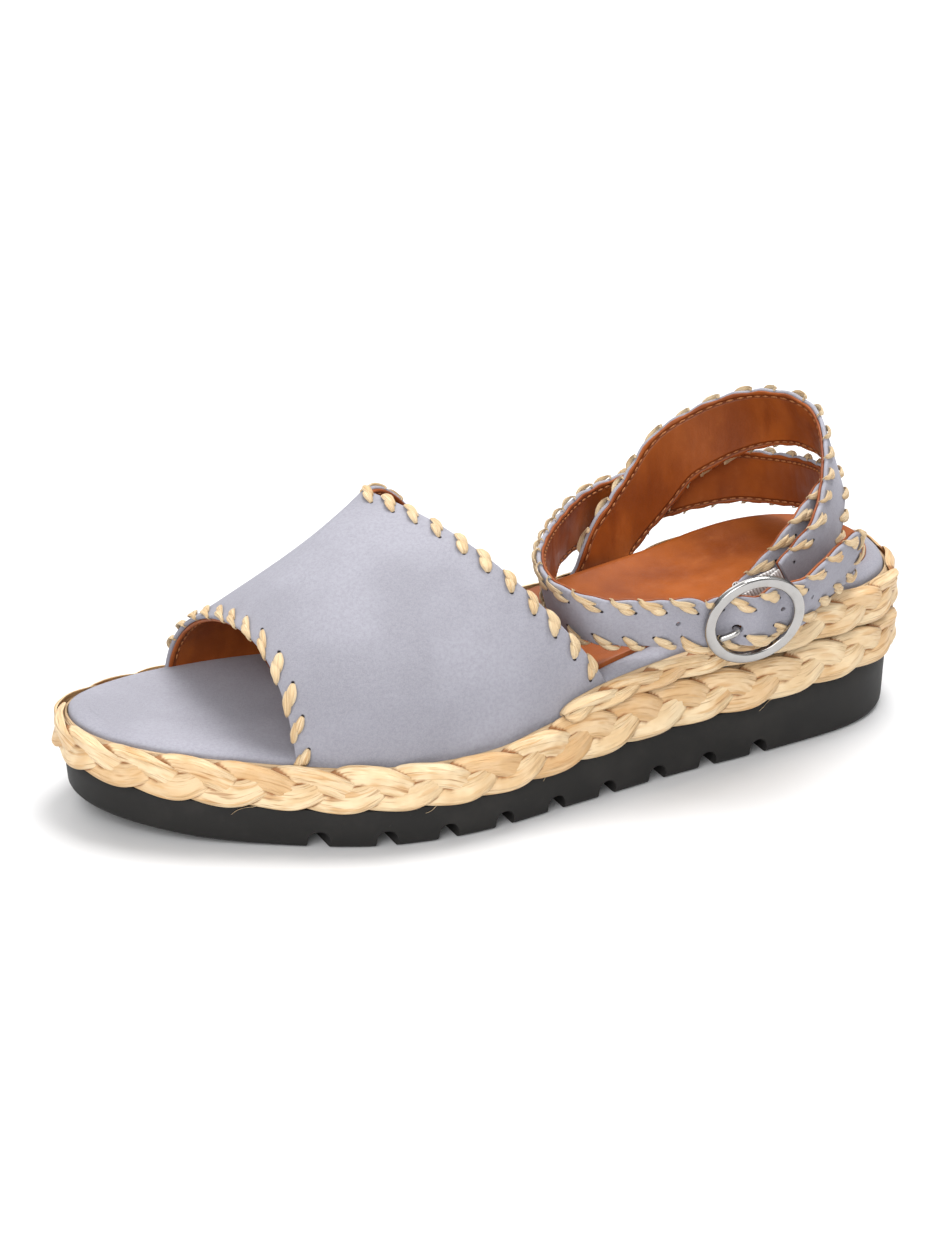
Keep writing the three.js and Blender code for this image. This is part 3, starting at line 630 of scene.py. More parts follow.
def nap_group():
    """Suede: brushed patches in a colour of their own, and a short fuzzy nap as height."""
    group, n, given = node_group(
        "suede nap",
        {"Place": "vector", "Base": "colour", "Pale": "colour", "Deep": "colour"},
        {"Colour": "colour", "Height": "float"},
    )
    brushed = n.noise(given["Place"], 34.0, 3.0, 0.5)
    mottled = n.noise(given["Place"], 1100.0, 3.0, 0.6)
    fuzz = n.noise(given["Place"], 2800.0, 3.0, 0.7)
    tone = n.mix(n.ramp(brushed, 0.35, 0.66, 0.0, 0.9), given["Base"], given["Pale"])
    tone = n.mix(n.ramp(mottled, 0.3, 0.75, 0.0, 0.42), tone, given["Deep"])
    tone = n.mix(n.ramp(fuzz, 0.35, 0.7, 0.0, 0.5), tone, given["Pale"])
    height = n.math("MULTIPLY_ADD", fuzz, 0.8, n.math("MULTIPLY", mottled, 0.5))
    n.close(Colour=tone, Height=height)
    return group


def fibre_group():
    """Raffia: long streaks and fine fibres that run along a strip."""
    group, n, given = node_group(
        "raffia fibre",
        {"Along": "float", "Across": "float"},
        {"Streak": "float", "Fibre": "float", "Fold": "float"},
    )

    def stretched(along, across, offset):
        x = n.math("MULTIPLY", given["Along"], along)
        y = n.math("MULTIPLY", given["Across"], across)
        return n.noise(n.add("ShaderNodeCombineXYZ", X=x, Y=y, Z=offset).outputs[0], 1.0, 2.0, 0.6)

    streak, fibre, fold = stretched(1.1, 5.0, 1.3), stretched(1.0, 44.0, 4.7), stretched(0.8, 13.0, 8.1)
    n.close(Streak=streak, Fibre=fibre, Fold=fold)
    return group


def holes_group():
    """The small holes where the raffia enters, one row along each edge, by place along and inwards: a mask
    for their painted shade and their dent.
    """
    group, n, given = node_group(
        "whip holes",
        {"Along": "float", "Inwards": "float", "Pitch": "float", "Depth": "float"},
        {"Mask": "float"},
    )
    turn = n.math("FRACT", n.math("DIVIDE", given["Along"], given["Pitch"]))
    beside = n.math("MULTIPLY", n.math("SUBTRACT", turn, 0.5), given["Pitch"])
    above = n.math("SUBTRACT", given["Inwards"], given["Depth"])
    away = n.math("SQRT", n.math("MULTIPLY_ADD", beside, beside, n.math("MULTIPLY", above, above)))
    n.close(Mask=n.ramp(away, 0.3, 0.65, 1.0, 0.0))
    return group


def grain_group():
    """Smooth leather: a fine pebble with small creases, and slow changes of tone."""
    group, n, given = node_group(
        "leather grain", {"Place": "vector"}, {"Tone": "float", "Height": "float", "Rub": "float"},
    )
    place = given["Place"]
    cells = n.add("ShaderNodeTexVoronoi", {"feature": "DISTANCE_TO_EDGE"}, Vector=place, Scale=1100.0)
    pebble = n.ramp(cells.outputs["Distance"], 0.0, 0.22)
    fine = n.noise(place, 1800.0, 3.0, 0.6)
    height = n.math("MULTIPLY_ADD", fine, 0.45, n.math("MULTIPLY", pebble, 0.4))
    n.close(Tone=n.noise(place, 38.0, 4.0, 0.55), Rub=n.noise(place, 240.0, 4.0, 0.6), Height=height)
    return group


NAP = nap_group()
FIBRE = fibre_group()
HOLES = holes_group()
GRAIN = grain_group()


def new_material(name, **sockets):
    """A material with one Principled shader whose plain numbers are set on its own sockets."""
    material = bpy.data.materials.new(name)
    material.use_nodes = True
    nodes = Nodes(material.node_tree)
    return material, nodes, nodes.fill(material.node_tree.nodes["Principled BSDF"], **sockets)


def suede_material(name, whipped):
    material, n, shader = new_material(
        name, Roughness=0.95, Sheen_Weight=0.35, Sheen_Roughness=0.45, Sheen_Tint=SUEDE_PALE,
        Specular_IOR_Level=0.15,
    )
    nap = n.group(NAP, Place=n.object_place(), Base=SUEDE, Pale=SUEDE_PALE, Deep=SUEDE_DEEP)
    colour, normal = nap["Colour"], n.bump(nap["Height"], 0.5, 0.0003)
    if whipped:
        along, inwards = n.sewn_place()
        hole = n.group(HOLES, Along=along, Inwards=inwards, Pitch=WHIP_PITCH, Depth=WHIP_DEPTH)["Mask"]
        # Painted shade inside the whip holes
        colour = n.mix(hole, colour, HOLE_SHADE)
        normal = n.bump(n.math("MULTIPLY", hole, -1.0), 0.8, 0.0005, normal)
    n.fill(shader, Base_Color=colour, Normal=normal)
    return material


def leather_material(name, gloss, sewn):
    """Brown leather. A sewn one has a seam sunk in along its edges and soft creases across its length, both
    bumped and painted darker as shade.
    """
    material, n, shader = new_material(name, Specular_IOR_Level=0.3)
    grain = n.group(GRAIN, Place=n.object_place())
    colour = n.mix(n.ramp(grain["Tone"], 0.3, 0.75), LEATHER, LEATHER_DEEP)
    colour = n.mix(n.ramp(grain["Rub"], 0.55, 0.85, 0.0, 0.35), colour, LEATHER_RUBBED)
    normal = n.bump(grain["Height"], 0.25, 0.00015)
    if sewn:
        place = n.object_place()
        tall = n.add("ShaderNodeVectorMath", {"operation": "MULTIPLY"}, _0=place, _1=(1.0, 1.0, 0.3))
        crease = n.noise(tall.outputs[0], 130.0, 2.0, 0.5)
        from_seam = n.math("ABSOLUTE", n.math("SUBTRACT", n.sewn_place()[1], THREAD_INSET))
        seam = n.ramp(from_seam, 0.2, 0.75, 1.0, 0.0)
        # Painted shade in the crease troughs and then along the sunk seam
        colour = n.mix(n.ramp(crease, 0.35, 0.6, 0.6, 0.0), colour, LEATHER_DEEP)
        colour = n.mix(n.math("MULTIPLY", seam, 0.6), colour, LEATHER_SEAM_SHADE)
        normal = n.bump(n.math("SUBTRACT", n.math("MULTIPLY", crease, 2.5), seam), 0.6, 0.0005, normal)
    sheen = n.ramp(grain["Rub"], 0.3, 0.8, gloss - 0.06, gloss + 0.1)
    n.fill(shader, Base_Color=colour, Roughness=sheen, Normal=normal)
    return material


def raffia_material(name, shade):
    """Raffia on a piece whose U runs along the strip and whose V runs across it. A point attribute of painted
    contact shade is 1 where another strip lies over its edge; shade is painted shade laid over all of the
    piece, and its tone is one number for each leaf."""
    material, n, shader = new_material(name, Specular_IOR_Level=0.35)
    along, across = n.uv_place()
    fibre = n.group(FIBRE, Along=n.math("MULTIPLY", along, 10.0), Across=across)
    patch = n.noise(n.object_place(), 65.0, 2.0, 0.5)
    tone = n.attribute("tone")
    colour = n.mix(n.ramp(fibre["Streak"], 0.36, 0.62), RAFFIA_PALE, RAFFIA)
    for share, laid in (
        (n.ramp(fibre["Fold"], 0.54, 0.68, 0.0, 0.7), RAFFIA_TAN),
        (n.ramp(patch, 0.58, 0.74, 0.0, 0.45), RAFFIA_TAN),
        (n.ramp(fibre["Fibre"], 0.56, 0.7, 0.0, 0.6), RAFFIA_DEEP),
        (n.ramp(tone, 0.55, 1.0, 0.0, 0.55), RAFFIA_TAN),
        (n.ramp(tone, 0.0, 0.4, 0.5, 0.0), RAFFIA_PALE),
        # Painted contact shade where another strand lies over this one, never less than the piece's painted
        # shade
        (n.ramp(n.attribute("hollow"), 0.05, 0.85, shade, 0.9), RAFFIA_DEEP),
    ):
        colour = n.mix(share, colour, laid)
    height = n.math("MULTIPLY_ADD", fibre["Fold"], 2.4, fibre["Fibre"])
    gloss = n.ramp(fibre["Fibre"], 0.3, 0.7, 0.42, 0.62)
    n.fill(shader, Base_Color=colour, Roughness=gloss, Normal=n.bump(height, 0.7, 0.0006))
    return material


def rubber_material():
    material, n, shader = new_material("black rubber", Specular_IOR_Level=0.18)
    place = n.object_place()
    cloud = n.noise(place, 60.0, 4.0, 0.6)
    dust = n.ramp(n.noise(place, 900.0, 2.0, 0.5), 0.72, 0.8, 0.0, 0.5)
    colour = n.mix(n.ramp(cloud, 0.4, 0.75, 0.0, 0.5), RUBBER_GREY, RUBBER_PALE)
    grit = n.bump(n.noise(place, 2400.0, 3.0, 0.7), 0.2, 0.0002)
    gloss = n.ramp(cloud, 0.3, 0.8, 0.5, 0.68)
    n.fill(shader, Base_Color=n.mix(dust, colour, RUBBER_PALE), Roughness=gloss, Normal=grit)
    return material


def steel_material():
    material, n, shader = new_material("polished steel", Metallic=1.0)
    haze = n.noise(n.object_place(), 300.0, 4.0, 0.6)
    colour = n.mix(n.ramp(haze, 0.4, 0.8, 0.0, 0.4), STEEL, STEEL_HAZE)
    ripple = n.bump(n.noise(n.object_place(), 900.0), 0.04, 0.0001)
    n.fill(shader, Base_Color=colour, Roughness=n.ramp(haze, 0.35, 0.8, 0.1, 0.24), Normal=ripple)
    return material


def elastic_material():
    """Ribs across the band, their troughs painted darker as shade, and a brown line along its middle: V runs
    across it from 0 to 1.
    """
    material, n, shader = new_material("ribbed elastic", Roughness=0.85, Sheen_Weight=0.2)
    along, across = n.uv_place()
    rib = n.math("SINE", n.math("MULTIPLY", along, UV_MM * 2 * math.pi / ELASTIC_RIB))
    ply = n.noise(n.object_place(), 1500.0)
    # Painted shade: darker in the rib troughs, paler on their crests
    colour = n.mix(n.ramp(rib, -0.9, 0.3), ELASTIC_DEEP, ELASTIC_PALE)
    from_middle = n.math("ABSOLUTE", n.math("SUBTRACT", across, 0.5))
    colour = n.mix(n.ramp(from_middle, 0.05, 0.075, 1.0, 0.0), colour, ELASTIC_LINE)
    colour = n.mix(n.ramp(ply, 0.45, 0.8, 0.0, 0.3), colour, ELASTIC_DEEP)
    n.fill(shader, Base_Color=colour, Normal=n.bump(rib, 0.6, 0.00025))
    return material


def thread_material():
    material, n, shader = new_material("brown thread", Roughness=0.7)
    twist = n.noise(n.object_place(), 2200.0)
    colour = n.mix(n.ramp(twist, 0.35, 0.7), THREAD_BROWN, THREAD_DEEP)
    n.fill(shader, Base_Color=colour, Normal=n.bump(twist, 0.4, 0.0001))
    return material


suede_plain = suede_material("suede", whipped=False)
suede_whipped = suede_material("suede with whip holes", whipped=True)
sock_leather = leather_material("sock leather", 0.42, sewn=False)
lining_leather = leather_material("lining leather", 0.47, sewn=True)
raffia = raffia_material("raffia", 0.0)
# The backing's raffia, painted darker all over as shade behind the strands
raffia_backing_shaded = raffia_material("shaded raffia backing", 0.3)
black_rubber = rubber_material()
steel = steel_material()
elastic_web = elastic_material()
brown_thread = thread_material()


# Sole and footbed

def across_rows(ring_points, cells, height_of):
    """Rows of points across a ring, from its outer half to its inner half, closed up at heel and toe."""
    half = len(ring_points) // 2
    outer = ring_points[:half + 1]
    inner = np.concatenate([ring_points[:1], ring_points[:half - 1:-1]])
    share = np.linspace(0, 1, cells + 1)[None, :, None]
    rows = outer[:, None] * (1 - share) + inner[:, None] * share
    if height_of is not None:
        inside = height_of(rows, share[..., 0])
        rows[1:-1, 1:-1, 2] = inside[1:-1, 1:-1]
    return rows


def ring_body(name, rings, cells, top_height=None, bottom_height=None):
    """A closed body over rings from the lowest to the highest."""
    walls = np.stack(rings)
    walls = np.concatenate([walls, walls[:, :1]], axis=1)
    parts = [
        grid_sheet(name, walls),
        grid_sheet(name + "_top", across_rows(rings[-1], cells if top_height else 1, top_height)),
        grid_sheet(name + "_bottom", across_rows(rings[0], cells if bottom_height else 1, bottom_height)),
    ]
    return close_up(join_pieces(name, parts), 0.02)


def groove_cutter():
    """Arched bars across the whole sole, one for each groove."""
    radius = GROOVE_WIDTH / 2
    bars = []
    for i in range(GROOVE_COUNT):
        x = FIRST_GROOVE - i * GROOVE_PITCH + ORIGIN[0]
        bar = cylinder(radius, 2 * SOLE_BREADTH, (x, 0, GROOVE_HEIGHT - radius), (math.pi / 2, 0, 0))
        for vertex in bar.data.vertices:
            aside = vertex.co.x - x * MM
            if vertex.co.z < (GROOVE_HEIGHT - radius - 0.01) * MM:
                vertex.co.z = -GROOVE_HEIGHT * MM
                if abs(aside) > 1e-6:
                    vertex.co.x = x * MM + math.copysign(radius * MM, aside)
        bars.append(bar)
    return join_pieces("grooves", bars)


def make_outsole():
    rings = []
    for angle in np.linspace(0, math.pi / 2, 6):
        inset = RUBBER_CORNER * (1 - math.sin(angle)) + RUBBER_FLARE
        lift = RUBBER_CORNER * (1 - math.cos(angle))
        rings.append(ring(-inset, lambda x: ground_height(x) + lift))
    for share in (0.35, 0.7, 1.0):
        def side_height(x):
            low = ground_height(x) + RUBBER_CORNER
            return low + (rubber_height(x) - RUBBER_EDGE - low) * share
        rings.append(ring(-RUBBER_FLARE * (1 - share), side_height))
    rings.append(ring(-RUBBER_EDGE * 0.3, lambda x: rubber_height(x) - RUBBER_EDGE * 0.3))
    rings.append(ring(-RUBBER_EDGE, rubber_height))
    sole = ring_body("outsole_rubber", rings, 1)
    carve(sole, groove_cutter())
    return dress(sole, black_rubber, "rubber", "outsole", sharp=32)


def crest_rise(x):
    return RIM_RISE * (1 - 0.35 * smoothstep(x / SOLE_LENGTH, 0.42, 0.62))


def dish_depth(x, across):
    share = smoothstep(x / SOLE_LENGTH, 0.3, 0.65)
    end = smoothstep(x, RIM_ROLL, RIM_ROLL + 0.16 * SOLE_LENGTH)
    return BED_DISH * (1 - 0.8 * share) * end * 4 * across * (1 - across)


def sunk(rows, across):
    return rows[..., 2] - dish_depth(rows[..., 0], across)


def make_footbed():
    """The wrapped footbed: a side wall behind the braids, a rolled rim and the dished top."""
    inset = BRAID_SEAT + CLEARANCE
    rings = [
        ring(-inset, lambda x: rubber_height(x) + CLEARANCE),
        ring(-inset, lambda x: rim_height(x) - 2),
    ]
    for turn in np.linspace(0, math.pi / 2, 9):
        rings.append(ring(-inset - RIM_ROLL * (1 - math.cos(turn)),
                          lambda x: rim_height(x) + crest_rise(x) * math.sin(turn) ** 0.9))
    bed = ring_body("footbed_suede", rings, 40, top_height=sunk)
    return dress(bed, suede_plain, "suede", "footbed", sharp=50)


def make_sock():
    """The leather sock on the footbed, with a rounded edge, cut off at a slant under the vamp."""
    place = BRAID_SEAT + CLEARANCE + SOCK_INSET
    top = SOCK_WALL + CLEARANCE
    rings = []
    for inwards, lift in ((0, 0.05), (0, top - SOCK_EDGE), (0.3, top - 0.25 * SOCK_EDGE), (1, top)):
        rings.append(ring(-place - inwards * SOCK_EDGE, lambda x: rim_height(x) + crest_rise(x) + lift))
    sock = ring_body("sock_leather", rings, 40, top_height=sunk, bottom_height=sunk)
    only(sock)
    front = (np.array([SOCK_FRONT, 0, 0]) + ORIGIN) * MM
    cut = {"plane_co": front, "plane_no": (1, -SOCK_FRONT_SLANT, 0), "use_fill": True, "clear_outer": True}
    edit_all((bpy.ops.mesh.bisect, cut))
    return dress(sock, sock_leather, "leather", "sock", sharp=40)


# Braids

def braid_point(share, low, high, across, out):
    """A point of a braid, from its lower edge (across -1) to its upper edge (1), out from the side wall."""
    x, y = edge_point(share, out)
    return np.stack([x, y, low + (high - low) * (across + 1) / 2], axis=-1)


# A strand of a plait: how far it swings and how wide it is, as shares of half the braid's width; in
# millimetres how it lies over and under the others and tilts to get there, its half thickness, how far it
# turns in at the braid's two edges and how far off a strand over it still shades it; and where in its swing
# a leaf begins
SWING = 0.45
STRAND_WIDE = 0.57
STRAND_LIFT = 1.6
STRAND_WEAVE = 0.75
STRAND_TILT = 1.15
STRAND_THICK = 0.5
TURN_IN_TOP = 3.6
TURN_IN_BOTTOM = 1.6
CONTACT_SHADE = 0.9
LEAF_END = math.radians(160)


def strand_lie(turn):
    """Where a strand's middle is across a plait, how high, and how far its upper side is tilted out."""
    swing = SWING * (np.sin(turn) + 0.08 * np.sin(3 * turn)) / 0.92
    return swing, STRAND_LIFT + STRAND_WEAVE * np.sin(2 * turn), STRAND_TILT * np.sin(turn)


def strand_contact_shade(turn, half, across, height):
    """Painted contact shade: 1 where a point of one strand touches the edge of one that lies over it, down to
    0 further off.
    """
    shade = np.zeros(across.shape)
    for other in (1, 2):
        swing, lift, tilt = (values[:, None] for values in strand_lie(turn + other * 2 * math.pi / 3))
        side = np.clip((across - swing) / STRAND_WIDE, -1, 1)
        beyond = (np.abs(across - swing) - STRAND_WIDE) * half[:, None]
        over = smoothstep(lift + tilt * side + STRAND_THICK - height, 0.05, 0.6)
        shade = np.maximum(shade, over * (1 - smoothstep(beyond, 0, CONTACT_SHADE)))
    return shade


def strand_loops(shares, phase, low, high, fullness, strand, seed):
    """Loops round one flat strand of a three-strand plait, the painted contact shade on each point where the
    others lie over it, and a tone for each leaf that shows."""
    sides = 36
    turn = phase + strand * 2 * math.pi / 3
    rng = np.random.default_rng(seed)
    half = (high - low) / 2
    length = shares * outline.length
    round_ = np.linspace(0, 2 * math.pi, sides, endpoint=False)[None, :]
    q = bent(np.cos(round_), 0.75)
    face = np.sin(round_)
    leaf = np.floor((turn - LEAF_END) / math.pi).astype(int)
    leaf = leaf - leaf.min()
    tone = rng.uniform(0, 1, leaf.max() + 1)[leaf]
    uneven = blur(rng.uniform(-1, 1, leaf.max() + 1)[leaf], 6)
    swing, lift, tilt = strand_lie(turn)
    along = length[:, None] + 0 * q
    ragged = 0.04 * soft_noise(along / 6, 9 * q + 7.0 * strand, seed + 3)
    wide = STRAND_WIDE * (1 + 0.05 * uneven[:, None]) * (1 + ragged)
    drift = 0.5 * soft_noise(along / 24, 0 * along + strand * 5.0, seed + 1)
    fold = np.abs(np.sin(math.pi * (1.5 * q + drift + 0.37 * strand))) ** 0.6
    crease = 0.28 * (fold - 0.7) + 0.1 * soft_noise(along / 12, q * 4 + 3 * strand, seed + 2)
    bulge = bent(face, 0.45)
    across = swing[:, None] * (1 + 0.06 * uneven[:, None]) + q * wide
    height = lift[:, None] + tilt[:, None] * q + STRAND_THICK * bulge
    # Painted contact shade where the other strands lie over this one
    hollow = strand_contact_shade(turn, half, across, height)
    out = height + np.where(face > 0, 1, 0.2) * crease
    out = out - TURN_IN_TOP * smoothstep(across, 0.6, 1.2) - TURN_IN_BOTTOM * smoothstep(-across, 0.6, 1.2)
    x, y = edge_point(along / outline.length, out * fullness[:, None])
    middle = ((low + high) / 2)[:, None]
    points = np.stack([x, y, middle + across * half[:, None]], axis=-1)
    uv = np.stack([along / UV_MM + 3.7 * strand, round_ / (2 * math.pi) + 0 * along], axis=-1)
    return points, uv, hollow, tone[:, None] + 0 * along


# The backing's section: places across the braid and out from the side wall
BACKING = (
    (-0.8, 0.1), (-0.5, 0.5), (0.35, 0.5), (0.7, 0.0), (0.86, -1.0),
    (0.86, -BRAID_SEAT + 0.1), (-0.8, -BRAID_SEAT + 0.1),
)


def make_braid(name, node, shares, phase, low, high, fullness, joined, seed):
    """Three raffia strands plaited flat, on a thin backing band of the same raffia painted darker as shade.
    """
    strands = []
    for strand in range(3):
        own_seed = seed + 10 * strand
        points, uv, hollow, tone = strand_loops(shares, phase, low, high, fullness, strand, own_seed)
        strands.append(tube(f"{name}_strand_{strand}", points, uv, joined, hollow=hollow, tone=tone))
    braid = join_pieces(name, strands)
    core = [braid_point(shares, low, high, across, out) for across, out in BACKING]
    uv = np.stack([np.repeat(shares[:, None] * outline.length / UV_MM, len(BACKING), 1),
                   np.repeat(np.linspace(0, 0.9, len(BACKING))[None], len(shares), 0)], axis=-1)
    backing = tube(name + "_backing", np.stack(core, axis=1), uv, joined)
    dress(braid, raffia, "raffia", node)
    dress(backing, raffia_backing_shaded, "raffia", sharp=40)


def make_lower_braid():
    steps = 640
    shares = np.arange(steps) / steps
    x = edge_point(shares, 0)[0]
    low, high = rubber_height(x) + CLEARANCE, lower_height(x) + BRAID_OVERLAP
    phase = 2 * math.pi * LOWER_PLAITS * shares
    make_braid("lower_plait", "lower_braid", shares, phase, low, high, np.ones(steps), True, 41)


def make_upper_braid():
    steps = 360
    part = np.linspace(0, 1, steps)
    start = float(edge_share(UPPER_BRAID_REACH, -1)) - 1
    end = float(edge_share(UPPER_BRAID_REACH, 1))
    shares = start + (end - start) * part
    x = edge_point(shares, 0)[0]
    thin = 1 - smoothstep(rim_height(x) - lower_height(x), 0, 0.7 * HEEL_UPPER_BRAID)
    low = lower_height(x) + BRAID_SCALLOP - 2.4 * thin
    high = rim_height(x) + BRAID_OVERLAP + 2.4 * thin
    left = np.minimum(part, 1 - part) * (end - start) * outline.length
    taper = np.sqrt(1 - (1 - np.clip(left / ROUND_START, 0.02, 1)) ** 2)
    middle, half = (low + high) / 2, (high - low) / 2 * taper
    low, high = middle - half, middle + half
    fullness = (1 + 0.25 * thin) * (0.35 + 0.65 * taper)
    phase = 2 * math.pi * UPPER_PLAITS * part
    make_braid("upper_plait", "upper_braid", shares, phase, low, high, fullness, False, 83)


# Layers of suede and leather, by a section across them

def layer_section(cells, corner_steps=5):
    """A closed section: place across from -1 to 1, and how far the round edges go beyond and above it."""
    face = np.linspace(-1, 1, cells + 1)
    corner = np.radians(np.linspace(90, -90, corner_steps + 2)[1:-1])
    flat = 0 * face
    place = np.concatenate([face, np.ones(corner_steps), face[::-1], -np.ones(corner_steps)])
    beyond = np.concatenate([flat, np.cos(corner), flat, -np.cos(corner)])
    above = np.concatenate([flat + 1, np.sin(corner), flat - 1, -np.sin(corner)])
    return place, beyond, above


# How square a strap's round end is: 2 is a half circle
END_POWER = 2.6


class Strap:
    """A strap's middle line, with the directions across it and out of its face."""

    def __init__(self, path, width, round_end=0):
        line = Line([place for place, _, _ in path], closed=False)
        rows = np.arange(len(path), dtype=float)
        ways = line.way(np.minimum(rows, len(path) - 1.0001))
        faces = []
        for (_, _, face), way in zip(path, ways):
            faces.append(unit(np.array([way[1], -way[0], 0])) if face is None else face)
        self.length = line.length
        self.width = width
        self.round_end = round_end
        self.straight = line.length - round_end
        turn = np.linspace(0, math.pi, 181)
        self.end = np.stack([
            round_end * np.sin(turn) ** (2 / END_POWER),
            width / 2 * bent(np.cos(turn), 2 / END_POWER),
        ], axis=-1)
        self.end_lengths = lengths_along(self.end)
        self.end_length = self.end_lengths[-1]
        self.along = np.linspace(0, line.length, int(line.length))
        times = line.time_at(self.along)
        face = np.stack([np.interp(times, rows, np.array(faces)[:, i]) for i in range(3)], axis=-1)
        lean = np.radians(np.interp(times, rows, [row_lean for _, row_lean, _ in path]))
        face, lean = blur(face, 4), blur(lean, 5)[:, None]
        way = line.way(times)
        self.middle = line.point(times)
        out = unit(face - (face * way).sum(-1, keepdims=True) * way)
        up = np.cross(out, way)
        self.up = up * np.cos(lean) + out * np.sin(lean)
        self.out = out * np.cos(lean) - up * np.sin(lean)

    def read(self, values, along):
        return np.stack([np.interp(along, self.along, values[:, i]) for i in range(3)], axis=-1)

    def half_width(self, along):
        """Half the width, which goes down to nothing at a round end."""
        half = self.width / 2 + 0 * along
        if not self.round_end:
            return half
        left = np.clip((self.length - along) / self.round_end, 0, 1)
        return half * np.maximum(1 - (1 - left) ** END_POWER, 1e-6) ** (1 / END_POWER)

    def edge_length(self, along, across):
        """Length along the edges: out on the top edge, round the end and back on the bottom edge."""
        return np.where(across > 0, along, 2 * self.straight + self.end_length - along)

    def at(self, along, across, lift):
        """Points at lengths along, across from the middle and out from it."""
        up, out = self.read(self.up, along), self.read(self.out, along)
        return self.read(self.middle, along) + up * across[..., None] + out * lift[..., None]

    def stitch_place(self, edge_length, inwards, lift):
        """Points by length along the edges, distance in from them and height over the middle."""
        round_part = np.clip(edge_length - self.straight, 0, self.end_length)
        ahead, aside = (np.interp(round_part, self.end_lengths, self.end[:, i]) for i in (0, 1))
        shrink = 1 - inwards / (self.width / 2)
        before = np.minimum(edge_length, self.straight)
        after = np.maximum(edge_length - self.straight - self.end_length, 0)
        return self.at(before - after + ahead * shrink, aside * shrink, lift)


def table_row(along, out, up, lean):
    x = along * SOLE_LENGTH
    return np.array([x, out * SOLE_BREADTH, float(rim_height(x)) + up * STRAP_RISE]), lean, None


def wall_face(x, side):
    step = 5
    rise = edge_side(x + step, side, 0) - edge_side(x - step, side, 0)
    return unit(np.array([-rise, 2 * step, 0.0]) * side)


def foot_row(base, lift):
    x = base[0] * SOLE_LENGTH
    y = edge_side(x, base[1], -BRAID_SEAT - 2 * CLEARANCE - STRAP_WALL / 2)
    return np.array([x - FOOT_SLOPE * lift, y, float(rim_height(x)) + lift]), 0, wall_face(x, base[1])


# The buckle's own directions: out of its face, along the pull of its bar, and along the strap through it
buckle_middle = table_row(*BUCKLE_ROW)[0]
buckle_lean = math.radians(BUCKLE_ROW[3])
buckle_turn = math.radians(BUCKLE_TURN)
buckle_face = np.array([
    math.sin(buckle_turn) * math.cos(buckle_lean),
    math.cos(buckle_turn) * math.cos(buckle_lean),
    -math.sin(buckle_lean),
])
buckle_back = unit(np.cross([0, 0, 1], buckle_face))
buckle_up = np.cross(buckle_face, buckle_back)


def in_buckle_plane(degrees):
    angle = math.radians(degrees)
    return buckle_back * math.cos(angle) + buckle_up * math.sin(angle)


buckle_way = in_buckle_plane(BUCKLE_CLIMB)
buckle_bar = np.cross(buckle_way, buckle_face)


def buckle_point(along, across, out):
    return buckle_middle + buckle_way * along + buckle_bar * across + buckle_face * out


def through_buckle():
    under_ring = -(RING_WALL / 2 + 2 * CLEARANCE + STRAP_WALL / 2)
    over_bar = -BAR_DROP + BAR_RADIUS + 6 * CLEARANCE + ELASTIC_WALL + STRAP_WALL / 2
    narrow = math.sqrt((RING_RADIUS - RING_BAND) ** 2 - (ANKLE_STRAP_WIDTH / 2) ** 2)
    way = in_buckle_plane(STRAP_CLIMB)
    places = [(-RING_RADIUS, under_ring), (-narrow, under_ring), (0, over_bar), (narrow, under_ring),
              (RING_RADIUS, under_ring)]
    return [(buckle_middle + way * along + buckle_face * out, BUCKLE_ROW[3], None) for along, out in places]


def sided(row, side):
    place, lean, _ = table_row(*row)
    return place, lean, wall_face(row[0] * SOLE_LENGTH, side)


def table_rows(rows):
    return [table_row(*row) for row in rows]


ankle_feet = [foot_row(ANKLE_BASE, lift) for lift in (-STRAP_TUCK, 0, RIM_RISE)]
ankle_strap = Strap(
    [*ankle_feet, sided(ANKLE[0], 1), *table_rows(ANKLE[1:]), *through_buckle(), *table_rows(TAIL)],
    ANKLE_STRAP_WIDTH, ANKLE_STRAP_WIDTH / 2,
)
heel_feet = [foot_row(HEEL_BASE, lift) for lift in (RIM_RISE, 0, -STRAP_TUCK)]
heel_strap = Strap(
    [*table_rows(HEEL[:-2]), *(sided(row, -1) for row in HEEL[-2:]), *heel_feet],
    HEEL_STRAP_WIDTH,
)


def strap_layer(name, strap, low, high, inset, step, crown):
    """One layer of a strap, between two heights over its middle, with rounded edges."""
    along = np.linspace(0, strap.length, int(strap.length / step))
    if strap.round_end:
        tail = strap.length - strap.round_end * (1 - np.sin(np.linspace(0, math.pi / 2, 14)))
        along = np.concatenate([along[along < tail[0] - 0.3 * step], tail])
    place, beyond, above = layer_section(14)
    radius = (high - low) / 2
    half = (strap.half_width(along) - inset)[:, None]
    along = along[:, None] + 0 * place
    turn = (strap.edge_length(along, place) + WHIP_OVER * WHIP_REACH) / WHIP_PITCH
    pinch = EDGE_PINCH * (1 - np.cos(2 * math.pi * turn)) / 2
    side = np.maximum(half - radius - pinch * np.abs(place) ** 4, 0.02)
    across = place * side + beyond * radius
    lift = (low + high) / 2 + above * radius + crown * (1 - place ** 2) + 0 * across
    width = strap.width / 2
    inwards = np.where(across < 0, width + across, UV_MM - (width - across))
    uv = np.stack([strap.edge_length(along, across), inwards], axis=-1) / UV_MM
    return tube(name, strap.at(along, across, lift), uv)


